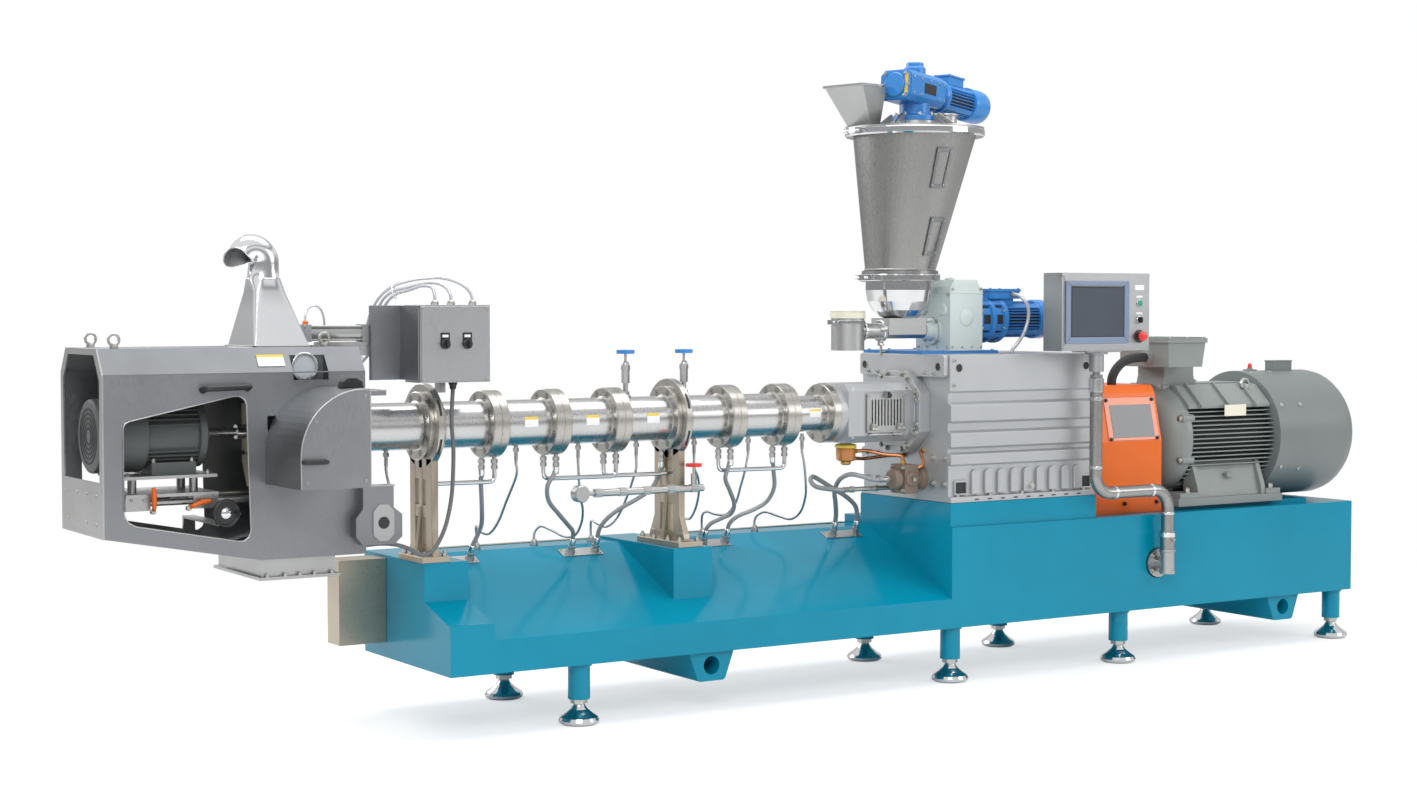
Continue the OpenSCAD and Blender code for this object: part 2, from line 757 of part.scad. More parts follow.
// Quarter round hood over the cutter head
hood_l = -607;
hood_r = -377;
hood_b = axis_z - 157;
function hood_edge(t) = [
  [hood_l + t, hood_b - (t > 0 ? 1 : 0)], [hood_r - t, hood_b - (t > 0 ? 1 : 0)],
  [hood_r - t, axis_z + 150 - t],
  for (a = [90 : 6 : 180]) [-400 + (207 - t) * cos(a), axis_z - 57 + (207 - t) * sin(a)]];
module guard_hood() {
  color(GREY) {
    difference() {
      xz(-hood_out, -ew, hood_edge(0));
      xz(-hood_out + 3, -ew + 1, hood_edge(3));
    }
    box(hood_r - 2, -324, -hood_out, -ew, axis_z + 130, axis_z + 145);
  }
}

// Exhaust pyramid with a bent outlet that opens downwards
duct_l = -588;
duct_r = -491;
duct_z = enc_top + 222;
module duct_foot(t, e) {
  intersection() {
    xz(-130, 130, [[-605 + t, enc_top - e], [-415 - t, enc_top - e],
      [duct_r - t, duct_z + e], [duct_l + t, duct_z + e]]);
    yz(-610, -410, [[-125 + t, enc_top - e], [125 - t, enc_top - e],
      [60 - t, duct_z + e], [-60 + t, duct_z + e]]);
  }
}

module duct_bend(t, e) {
  z = duct_z + 48;
  r = duct_r - duct_l - t;
  box(duct_l + t, duct_r - t, -60 + t, 60 - t, duct_z - 1 - e, z + 1);
  xz(-60 + t, 60 - t, concat([[duct_l - r, z - e], [duct_l + r, z - e]],
    [for (a = [0 : 9 : 180]) [duct_l + r * cos(a), z + r * sin(a)]]));
}

module exhaust_duct() {
  color(STEEL) {
    difference() {
      duct_foot(0, 0);
      duct_foot(3, 0.5);
    }
    difference() {
      duct_bend(0, 0);
      duct_bend(3, 1);
      yz(duct_l - 110, duct_l - 20, [[-70, duct_z + 40], [70, duct_z + 40],
        [70, duct_z + 44], [-70, duct_z + 84]]);
    }
  }
}

module cutter_motor() {
  color(GREY)
    difference() {
      union() {
        xcyl(-1112, -945, 0, axis_z, motor_r);
        xcyl(-945, -775, 0, axis_z, motor_r - 24);
        xcyl(-775, -735, 0, axis_z, motor_r - 10);
        box(-935, -790, -90, 90, plate_z + 6, axis_z - 85);
        box(-930, -850, -50, 50, axis_z + 80, axis_z + 140);
        for (a = [20 : 20 : 340])
          translate([-950, 0, axis_z])
            rotate([a, 0, 0])
              translate([0, -2, motor_r - 28])
                cube([180, 4, 13]);
      }
      xcyl(-780, -730, 0, axis_z, 14.05);
    }
}

module cutter_carriage() {
  color(STEEL) {
    box(-1040, -735, -130, 130, plate_z - 4, plate_z + 6);
    for (x = [-990, -790], y = [-60, 60])
      zcyl(plate_z - 50, plate_z - 4, x, y, 14);
    box(-1035, -735, -140, 140, plate_z - 60, plate_z - 50);
    for (x = [-1035, -815], y = [-rail_y, rail_y])
      difference() {
        box(x, x + 80, y - 25, y + 25, rail_z - 22, plate_z - 60);
        xcyl(x - 1, x + 81, y, rail_z, 10.05);
      }
  }
}

module cutter_spindle() {
  color(STEEL) {
    xcyl(-779, -420, 0, axis_z, 14);
    xcyl(-625, -575, 0, axis_z, 24);
    xcyl(-425, -405, 0, axis_z, 55);
    for (a = [0 : 60 : 300])
      translate([-405, 0, axis_z])
        rotate([a, 0, 0])
          translate([-1, -12, 30])
            cube([8, 24, 52]);
  }
}

module cutter_handwheel() {
  color(DARK) {
    ycyl(-205, -192, wheel_x, wheel_z, 46);
    ycyl(-192, -180, wheel_x, wheel_z, 18);
    ycyl(-180, -142, wheel_x, wheel_z, 8);
    ycyl(-232, -205, wheel_x + 34, wheel_z, 7);
  }
}

module discharge_chute() {
  color(STEEL) {
    difference() {
      box(-615, -365, -199, 199, enc_low - 57, enc_low);
      box(-612, -368, -196, 196, enc_low - 58, enc_low + 1);
    }
    difference() {
      box(-627, -353, -214, 214, enc_low - 67, enc_low - 57);
      box(-612, -368, -196, 196, enc_low - 68, enc_low - 50);
    }
  }
}

module air_cylinder() {
  cz = enc_top + 42;
  color(STEEL) {
    xcyl(-391, -190, 0, cz, 26);
    box(-391, -371, -28, 28, cz - 28, cz + 28);
    box(-190, -165, -30, 30, cz - 30, cz + 30);
    box(-340, -150, -30, 30, enc_top, cz - 30);
    box(enc_r, -130, -30, 30, enc_top - 34, enc_top);
    zcyl(cz + 28, cz + 41, -381, 0, 8);
  }
}

module control_box() {
  z0 = axis_z + 153;
  z1 = axis_z + 414;
  color(GREY) {
    box(-51, 212, -180, -60, z0, z1);
    box(-55, -51, -178, -30, z0 + 2, z1 - 2);
    box(-167, -55, -34, -30, z0 + 8, z1 - 2);
    for (p = [[34, -120], [94, -120], [195, -78]])
      zcyl(z1, z1 + 14, p[0], p[1], 12);
    zcyl(z0 - 18, z0, 105, -110, 11);
  }
}

// Two needle valves on the barrel and the steam pipe beside it
VALVES = places([847, 1095]);
stem = 10;
fit = 0.05;
valve_top = axis_z + br + 128;
steam_x = along(1060);
steam_y = -125;
steam_z = axis_z - 250;
module barrel_valves() {
  color(STEEL) {
    for (i = [0, 1])
      difference() {
        union() {
          zcyl(axis_z + br - 6, valve_top - 28, VALVES[i], 0, 15);
          zcyl(valve_top - 28, valve_top, VALVES[i], 0, 17);
        }
        zcyl(valve_top - 22, valve_top + 1, VALVES[i], 0, stem / 2 + fit);
      }
    difference() {
      union() {
        xcyl(along(648), steam_x + 40, steam_y, steam_z, 16);
        zcyl(steam_z, steam_z + 55, steam_x, steam_y, 12);
      }
      zcyl(steam_z + 30, steam_z + 56, steam_x, steam_y, stem / 2 + fit);
    }
    xcyl(along(610), along(648), steam_y, steam_z, 8);
    ycyl(steam_y - 20, steam_y + 20, along(590), steam_z, 30);
    box(JOINTS[4] - disc_t / 2, JOINTS[4] + disc_t / 2, steam_y, -86, steam_z - 10, steam_z + 10);
  }
}

module valve_wheel(x) {
  color(SKY) {
    zcyl(valve_top - 21, valve_top + 38, x, 0, stem / 2);
    zcyl(valve_top + 28, valve_top + 42, x, 0, 33);
  }
}

module steam_wheel() {
  color(RED) {
    zcyl(steam_z + 31, steam_z + 90, steam_x, steam_y, stem / 2);
    zcyl(steam_z + 78, steam_z + 90, steam_x, steam_y, 30);
  }
}

// Operator panel, swinging arm and its bracket on the base
pin_d = 30;
arm_r = 25;
bend = 75;
swivel = 0.5;
module arm_bracket() {
  color(STEEL) {
    ycyl(-base_front - 10, -base_front, arm_x, arm_low, 58);
    ycyl(arm_y, -base_front - 10, arm_x, arm_low, 27);
    zcyl(arm_low - 27, arm_low + 60, arm_x, arm_y, 29);
    zcyl(arm_low + 60, arm_low + 140, arm_x, arm_y, pin_d / 2);
  }
}

module panel_arm() {
  z0 = arm_low + 60 + swivel;
  z1 = pan_z - 95;
  color(STEEL) {
    difference() {
      union() {
        zcyl(z0, z0 + 75, arm_x, arm_y, 29);
        zcyl(z0, arm_run - bend, arm_x, arm_y, arm_r);
      }
      zcyl(z0 - 1, arm_low + 141, arm_x, arm_y, pin_d / 2 + fit);
    }
    elbow(arm_x - bend, arm_y, arm_run - bend, 1, 1, bend, arm_r);
    xcyl(pan_x + bend, arm_x - bend, arm_y, arm_run, arm_r);
    elbow(pan_x + bend, arm_y, arm_run + bend, -1, -1, bend, arm_r);
    zcyl(arm_run + bend, z1, pan_x, arm_y, arm_r);
    zcyl(z1, z1 + 75, pan_x, arm_y, pin_d / 2);
  }
}

module panel_box() {
  w = panel_width / 2;
  z0 = pan_z - 95 + swivel;
  color(GREY) {
    difference() {
      zcyl(z0, pan_z - 6, pan_x, arm_y, 29);
      zcyl(z0 - 1, z0 + 76, pan_x, arm_y, pin_d / 2 + fit);
    }
    box(pan_x - 90, pan_x + 90, arm_y - 45, arm_y + 45, pan_z - 6, pan_z);
    box(pan_x - w, pan_x + w, arm_y - 55, arm_y + 55, pan_z, pan_z + panel_height);
  }
}

// Points that the cords, hoses and conduits pass through
PROBE_LEADS = [
  [
    [-94, 0, 890], [-92, -3, 868], [-89, -9, 838], [-104, -20, 806], [-145, -34, 789],
    [-190, -40, 787], [-225, -40, 790], [-251, -40, 790]
  ],
  [
    [401, 0, 890], [405, 0, 868], [410, 25, 832], [410, 90, 754], [407, 150, 674], [392, 190, 630],
    [376, 222, 632], [372, 252, 652], [380, 274, 640], [385, 280, 610], [385, 280, 582]
  ],
  [
    [650, 0, 890], [664, 18, 815], [685, 50, 760], [714, 82, 712], [736, 130, 656],
    [731, 170, 606], [704, 202, 600], [668, 232, 622], [638, 262, 636], [622, 279, 612],
    [620, 280, 582]
  ],
  [
    [891, 0, 890], [895, 8, 852], [906, 56, 800], [922, 112, 752], [910, 164, 668], [880, 194, 628],
    [856, 230, 638], [852, 262, 646], [858, 279, 615], [860, 280, 582]
  ],
  [
    [1139, 0, 890], [1144, 4, 846], [1176, 30, 805], [1210, 80, 747], [1234, 140, 685],
    [1248, 200, 640], [1255, 250, 632], [1255, 265, 612], [1255, 265, 582]
  ],
  [
    [1378, 0, 890], [1376, 16, 832], [1384, 60, 765], [1394, 110, 698], [1378, 152, 652],
    [1354, 192, 650], [1339, 224, 658], [1338, 256, 645], [1348, 279, 612], [1351, 280, 582]
  ],
  [
    [1624, 0, 890], [1640, 8, 842], [1662, 30, 776], [1684, 62, 715], [1695, 110, 650],
    [1678, 152, 618], [1646, 194, 628], [1614, 234, 642], [1597, 268, 626], [1593, 280, 602],
    [1593, 280, 582]
  ]
];
BARREL_HOSES = [
  [
    [273, 14, 880], [275, 22, 830], [300, 66, 742], [325, 118, 676], [324, 142, 638],
    [312, 160, 598], [309, 173, 568]
  ],
  [
    [553, -14, 880], [545, -14, 850], [524, -4, 806], [550, 34, 750], [612, 76, 698],
    [668, 114, 655], [706, 142, 625], [716, 160, 597], [718, 173, 568]
  ],
  [
    [1007, 14, 880], [1003, 18, 836], [978, 38, 776], [938, 70, 738], [888, 98, 706],
    [846, 124, 670], [824, 146, 633], [820, 161, 597], [820, 173, 568]
  ],
  [
    [1290, -14, 880], [1282, -12, 846], [1278, 2, 802], [1318, 32, 752], [1360, 68, 700],
    [1368, 100, 660], [1340, 126, 640], [1308, 146, 622], [1293, 161, 597], [1292, 173, 568]
  ],
  [
    [1497, 14, 880], [1508, 22, 822], [1530, 50, 756], [1520, 84, 700], [1478, 112, 668],
    [1426, 134, 646], [1398, 150, 622], [1392, 161, 597], [1392, 173, 568]
  ]
];
OIL_HOSES = [
  [
    [1911, -105, 778], [1886, -106, 780], [1845, -96, 792], [1806, -60, 800], [1792, -10, 776],
    [1806, 40, 728], [1846, 90, 680], [1882, 136, 634], [1896, 160, 598], [1898, 173, 568]
  ],
  [
    [1790, -40, 740], [1768, -36, 741], [1738, 0, 744], [1712, 34, 752], [1704, 56, 772],
    [1728, 76, 786], [1772, 86, 768], [1838, 96, 734], [1912, 112, 698], [1974, 134, 656],
    [2000, 158, 606], [2004, 173, 568]
  ]
];
CONDUITS = [
  [
    [34, -120, 1459], [34, -119, 1482], [28, -106, 1508], [5, -76, 1512], [-24, -42, 1499],
    [-53, -8, 1487], [-76, 20, 1460], [-90, 40, 1415], [-100, 52, 1355], [-125, 58, 1288],
    [-170, 60, 1242], [-215, 60, 1226], [-251, 60, 1225]
  ],
  [
    [94, -120, 1459], [93, -118, 1484], [82, -104, 1508], [60, -82, 1522], [26, -54, 1522],
    [-13, -26, 1511], [-57, 8, 1496], [-84, 38, 1468], [-100, 62, 1415], [-112, 80, 1350],
    [-140, 92, 1285], [-185, 95, 1240], [-225, 95, 1226], [-251, 95, 1225]
  ],
  [
    [195, -78, 1459], [192, -76, 1484], [170, -68, 1512], [132, -55, 1532], [89, -44, 1541],
    [55, -32, 1540], [7, -10, 1534], [-46, 20, 1516], [-84, 50, 1484], [-108, 74, 1435],
    [-122, 98, 1365], [-145, 117, 1295], [-185, 128, 1248], [-225, 130, 1228], [-251, 130, 1225]
  ]
];
CONTROL_CABLE = [
  [105, -110, 1174], [103, -112, 1150], [98, -117, 1110], [93, -124, 1045], [95, -132, 967],
  [90, -140, 890], [82, -146, 813], [67, -152, 746], [48, -155, 690], [20, -155, 640],
  [-12, -155, 612], [-44, -152, 614], [-84, -150, 636], [-128, -148, 650], [-175, -140, 655],
  [-215, -124, 652], [-251, -120, 650]
];
FEEDER_CONDUIT = [
  [2606, -73, 1492], [2609, -92, 1489], [2620, -112, 1474], [2631, -124, 1450], [2636, -128, 1418],
  [2630, -128, 1378], [2610, -128, 1334], [2580, -130, 1298], [2552, -134, 1275], [2538, -138, 1257]
];
MOTOR_CONDUIT = [
  [3287, -110, 1232], [3262, -110, 1231], [3215, -108, 1228], [3170, -104, 1214],
  [3134, -100, 1184], [3114, -98, 1150], [3110, -98, 1116]
];
AIR_HOSE = [
  [-381, 0, 1392], [-381, 0, 1412], [-370, 3, 1436], [-344, 9, 1446], [-318, 20, 1434],
  [-300, 36, 1402], [-292, 52, 1368], [-290, 60, 1344], [-290, 60, 1324]
];

shift() base_frame();
shift() levelling_feet();
shift() hose_plates();
shift() barrel_stands();
shift() screw_barrel();
shift() barrel_fittings();
shift() barrel_valves();
shift() lantern();
shift() vent_door();
shift() gearbox();
shift() feeder_plate();
shift() oil_pump();
shift() coupling_guard();
shift() main_motor();
shift() motor_cowl();
shift() hopper_shell();
shift() hopper_lid();
shift() agitator_drive();
shift() hopper_bowl();
shift() feeder_tube();
shift() feeder_gearbox();
shift() feeder_motor();
shift() enclosure_shell();
shift() cutter_frame();
shift() guard_hood();
shift() exhaust_duct();
shift() cutter_motor();
shift() cutter_carriage();
shift() cutter_spindle();
shift() cutter_handwheel();
shift() discharge_chute();
shift() air_cylinder();
shift() control_box();
shift() valve_wheel(VALVES[0]);  // valve_wheel_1
shift() valve_wheel(VALVES[1]);  // valve_wheel_2
shift() steam_wheel();
shift() arm_bracket();
shift() panel_arm();
shift() panel_box();
for (i = [0 : 6])
  shift()
      color(LEAD)
        cord(PROBE_LEADS[i], 9);
for (i = [0 : 4])
  shift()
      color(LEAD)
        cord(BARREL_HOSES[i], 16);
for (i = [0 : 1])
  shift()
      color(LEAD)
        cord(OIL_HOSES[i], 18);
for (i = [0 : 2])
  shift()
      color(LEAD)
        cord(CONDUITS[i], 11);
shift() color(DARK) cord(CONTROL_CABLE, 14);  // control_cable
shift() color(LEAD) cord(FEEDER_CONDUIT, 14);  // feeder_conduit
shift() color(DARK) cord(MOTOR_CONDUIT, 38);  // motor_conduit
shift() color(LEAD) cord(AIR_HOSE, 8);  // air_hose
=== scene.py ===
"""Looks of the textured protein extruder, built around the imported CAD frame.
Sizes are written in millimetres in the part's own drawing frame and turned to metres by W()."""

from math import acos, atan2, copysign, cos, degrees, pi, radians, sin, sqrt, tan

import bpy
from mathutils import Matrix, Vector


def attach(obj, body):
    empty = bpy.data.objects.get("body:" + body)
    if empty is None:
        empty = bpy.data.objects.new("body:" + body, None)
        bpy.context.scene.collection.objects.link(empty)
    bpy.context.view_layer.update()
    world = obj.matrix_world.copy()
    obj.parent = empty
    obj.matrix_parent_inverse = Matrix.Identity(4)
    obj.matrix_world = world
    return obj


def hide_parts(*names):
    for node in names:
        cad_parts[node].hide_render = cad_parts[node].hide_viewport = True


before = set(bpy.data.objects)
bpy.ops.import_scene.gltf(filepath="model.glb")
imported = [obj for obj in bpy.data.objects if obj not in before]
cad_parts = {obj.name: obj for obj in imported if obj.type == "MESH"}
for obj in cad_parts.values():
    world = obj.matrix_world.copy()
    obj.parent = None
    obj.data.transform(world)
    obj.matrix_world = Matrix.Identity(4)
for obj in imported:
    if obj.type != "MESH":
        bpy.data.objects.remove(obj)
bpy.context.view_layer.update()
CX, CY = 1634.5, -52.0  # drawing point that the frame takes as its origin
AX = 1035.0  # height of the screw line
BZ, DECK, SEAT = 212.0, 565.0, 573.0  # underside of the base, its low deck, foot of the barrel stands
HX = 2115.0  # left end of the high base and the gearbox
JOINTS = [47, 291, 535, 780, 1033, 1272, 1515, 1731]  # right ends of the eight barrel sections
PROBES = [-94, 401, 650, 891, 1139, 1378, 1624]
FEET = [(x, -245) for x in (516, 2150, 3020, 4266)] + [(x, 345) for x in (527, 2176, 2883, 4101)]
ENC_TOP = AX + 278
LEFT, RIGHT, FRONT, BACK, DOWN, UP = (-1, 0, 0), (1, 0, 0), (0, -1, 0), (0, 1, 0), (0, 0, -1), (0, 0, 1)


def W(p):
    return ((p[0] - CX) / 1000, (p[1] - CY) / 1000, p[2] / 1000)


# ---------------------------------------------------------------- materials
def nodes_of(m):
    m.use_nodes = True
    nt = m.node_tree
    nt.nodes.clear()
    out = nt.nodes.new("ShaderNodeOutputMaterial")
    b = nt.nodes.new("ShaderNodeBsdfPrincipled")
    nt.links.new(b.outputs[0], out.inputs[0])
    return nt, b


def noise(nt, scale, stretch=(1, 1, 1), detail=3.0, rough=0.6):
    tc = nt.nodes.new("ShaderNodeTexCoord")
    mp = nt.nodes.new("ShaderNodeMapping")
    mp.inputs["Scale"].default_value = stretch
    nt.links.new(tc.outputs["Object"], mp.inputs[0])
    n = nt.nodes.new("ShaderNodeTexNoise")
    n.inputs["Scale"].default_value = scale
    n.inputs["Detail"].default_value = detail
    n.inputs["Roughness"].default_value = rough
    nt.links.new(mp.outputs[0], n.inputs["Vector"])
    return n.outputs["Fac"]


def spread(nt, fac, lo, hi, a=0.35, b=0.65):
    r = nt.nodes.new("ShaderNodeMapRange")
    r.inputs["From Min"].default_value = a
    r.inputs["From Max"].default_value = b
    r.inputs["To Min"].default_value = lo
    r.inputs["To Max"].default_value = hi
    nt.links.new(fac, r.inputs["Value"])
    return r.outputs[0]


def tint(nt, fac, c0, c1):
    r = nt.nodes.new("ShaderNodeMix")
    r.data_type = "RGBA"
    r.inputs[6].default_value = (*c0, 1)
    r.inputs[7].default_value = (*c1, 1)
    nt.links.new(fac, r.inputs[0])
    return r.outputs[2]


def bump(nt, b, height, strength, dist=0.001):
    n = nt.nodes.new("ShaderNodeBump")
    n.inputs["Strength"].default_value = strength
    n.inputs["Distance"].default_value = dist
    nt.links.new(height, n.inputs["Height"])
    nt.links.new(n.outputs[0], b.inputs["Normal"])


def shade(c, k):
    return tuple(min(1.0, x * k) for x in c)


def metal(name, col, rough, stretch=(1, 1, 1), grain=0.25, var=0.08):
    """Brushed, turned or cast metal; stretch sets the direction of the brushing."""
    m = bpy.data.materials.new(name)
    nt, b = nodes_of(m)
    b.inputs["Metallic"].default_value = 1.0
    fine = noise(nt, 90, stretch, 4)
    big = noise(nt, 2.2, (1, 1, 1), 3)
    nt.links.new(tint(nt, spread(nt, big, 0, 1), shade(col, 1 - var), shade(col, 1 + var)),
                 b.inputs["Base Color"])
    nt.links.new(spread(nt, fine, rough * 0.8, rough * 1.25), b.inputs["Roughness"])
    if grain:
        bump(nt, b, fine, grain, 0.0004)
    return m


def paint(name, col, rough, coat=0.0, peel=0.06, metallic=0.0, var=0.06, scale=260, gloss=0.5):
    """Sprayed paint with a little orange peel and a slow change of tone."""
    m = bpy.data.materials.new(name)
    nt, b = nodes_of(m)
    b.inputs["Metallic"].default_value = metallic
    b.inputs["Coat Weight"].default_value = coat
    b.inputs["Coat Roughness"].default_value = 0.12
    b.inputs["Specular IOR Level"].default_value = gloss
    big = noise(nt, 1.6, (1, 1, 1), 4)
    fine = noise(nt, scale, (1, 1, 1), 2)
    nt.links.new(tint(nt, spread(nt, big, 0, 1), shade(col, 1 - var), shade(col, 1 + var)),
                 b.inputs["Base Color"])
    nt.links.new(spread(nt, fine, rough * 0.9, rough * 1.15), b.inputs["Roughness"])
    bump(nt, b, fine, peel, 0.0006)
    return m


def lin(r, g, b):
    """Linear colour from a colour as it shows on screen, 0 to 255."""
    return tuple(((c / 255 + 0.055) / 1.055) ** 2.4 if c > 10 else c / 255 / 12.92 for c in (r, g, b))


M = {
    "teal": paint("teal_gloss_paint", lin(0, 130, 158), 0.16, 0.05, 0.015, gloss=0.22),
    "steel_z": metal("steel_brushed_upright", lin(156, 156, 154), 0.30, (6, 6, 0.5), 0.02, 0.03),
    "turned": metal("steel_turned", lin(190, 190, 190), 0.24, (14, 0.8, 0.8), 0.06, 0.03),
    "turned_warm": metal("steel_turned_warm", lin(178, 175, 169), 0.3, (12, 0.8, 0.8), 0.04, 0.03),
    "polished": metal("steel_polished", lin(214, 215, 216), 0.09, (1, 1, 1), 0.03, 0.03),
    "satin": metal("steel_satin", lin(178, 179, 178), 0.38, (2, 2, 2), 0.12),
    "sheet": metal("sheet_glass_blasted", lin(138, 140, 143), 0.42, (3, 3, 0.7), 0.12, 0.10),
    "box_sheet": metal("sheet_brushed_pale", lin(170, 171, 173), 0.40, (0.7, 3, 3), 0.03, 0.03),
    "duct": metal("duct_mirror_steel", lin(232, 233, 235), 0.11, (1, 1, 1), 0.01, 0.02),
    "sight_pane": paint("sight_pane", lin(176, 182, 188), 0.12, 0.5, 0.01),
    "cowl": paint("cowl_grey_paint", lin(112, 118, 118), 0.42, 0.1, 0.08),
    "cable": paint("grey_cable", lin(96, 97, 99), 0.5, 0.1, 0.2),
    "dark_sheet": metal("sheet_in_shade", lin(96, 98, 100), 0.5, (2, 2, 2), 0.1),
    "beige": metal("steel_beige", lin(178, 168, 152), 0.34, (3, 3, 3), 0.14),
    "cast": paint("cast_silver_paint", lin(178, 180, 182), 0.42, 0.0, 0.30, 0.55, 0.06, 420),
    "rough_cast": paint("cast_raw", lin(150, 152, 154), 0.55, 0.0, 0.5, 0.6, 0.1, 300),
    "motor": paint("motor_grey_paint", lin(128, 134, 132), 0.45, 0.1, 0.14, 0.0, 0.06, 380),
    "motor_dark": paint("motor_shadow_paint", lin(84, 88, 88), 0.5, 0.0, 0.14),
    "sky": paint("blue_gloss_paint", lin(52, 128, 198), 0.3, 0.3, 0.08, gloss=0.35),
    "pale_green": paint("pale_green_paint", lin(196, 208, 206), 0.35, 0.3, 0.08),
    "orange": paint("orange_paint", lin(222, 104, 34), 0.36, 0.1, 0.06, gloss=0.3),
    "orange_dark": paint("orange_lower_paint", lin(212, 92, 20), 0.4, 0.1, 0.06, gloss=0.3),
    "red": paint("red_plastic", lin(214, 42, 34), 0.3, 0.3, 0.04),
    "green": paint("green_plastic", lin(10, 150, 110), 0.3, 0.3, 0.04),
    "black": paint("black_plastic", lin(32, 33, 35), 0.38, 0.0, 0.12),
    "black_metal": paint("black_enamel", lin(30, 31, 33), 0.25, 0.4, 0.08),
    "rubber": paint("black_rubber", lin(42, 43, 45), 0.62, 0.0, 0.4),
    "hose": paint("woven_hose", lin(150, 152, 154), 0.5, 0.0, 0.5, 0.3, 0.12, 900),
    "braid": metal("braided_lead", lin(176, 178, 180), 0.38, (20, 20, 20), 0.6, 0.18),
    "clear_lead": paint("clear_conduit", lin(196, 198, 202), 0.22, 0.4, 0.3, 0.25, 0.08, 700),
    "white": paint("white_plastic", lin(228, 230, 232), 0.35, 0.2, 0.05),
    "brass": metal("brass", lin(200, 165, 95), 0.28, (2, 2, 2), 0.1),
    "copper": metal("copper", lin(196, 128, 88), 0.26, (2, 2, 2), 0.1),
    "zinc": metal("zinc_bolts", lin(190, 190, 184), 0.34, (2, 2, 2), 0.1),
    # Flat dark grey: painted shade in holes, slots, gaps and recesses, and also the real dark seam lines
    # between barrel sections
    "shade_and_seam_dark": paint("painted_recess_shade_and_seams", lin(40, 40, 42), 0.6, 0.0, 0.1),
    "glass": paint("dark_window", lin(66, 68, 72), 0.08, 0.6, 0.01),
    "screen": paint("terminal_glass", lin(70, 78, 88), 0.12, 0.6, 0.01),
    "bezel": paint("terminal_bezel", lin(118, 134, 158), 0.32, 0.1, 0.05),
    "plate": paint("blank_plate", lin(218, 214, 196), 0.4, 0.1, 0.04),
    "yellow_plate": paint("blank_yellow_plate", lin(220, 190, 70), 0.4, 0.1, 0.04),
    "clear": paint("clear_sheet_edge", lin(204, 108, 64), 0.12, 0.6, 0.01),
    "amber": paint("amber_bowl", lin(176, 108, 30), 0.12, 0.8, 0.02),
    "brown": paint("brown_pump_paint", lin(120, 104, 92), 0.45, 0.1, 0.15),
}


# ---------------------------------------------------------------- mesh builder
def basis(d):
    d = Vector(d).normalized()
    u = Vector(UP) if abs(d.z) < 0.9 else Vector(RIGHT)
    s = u.cross(d).normalized()
    return Matrix((s, d.cross(s), d)).transposed()


def polar(r, deg):
    """The two coordinates of a point at radius r and an angle in degrees."""
    return r * cos(radians(deg)), r * sin(radians(deg))


def circle(count, r, first=0.0):
    """Evenly spaced points on a circle about the origin."""
    return [polar(r, first + 360 * k / count) for k in range(count)]


def turned(centre, deg, axis="X"):
    """Matrix that turns about an axis through a point."""
    return Matrix.Translation(centre) @ Matrix.Rotation(radians(deg), 4, axis)


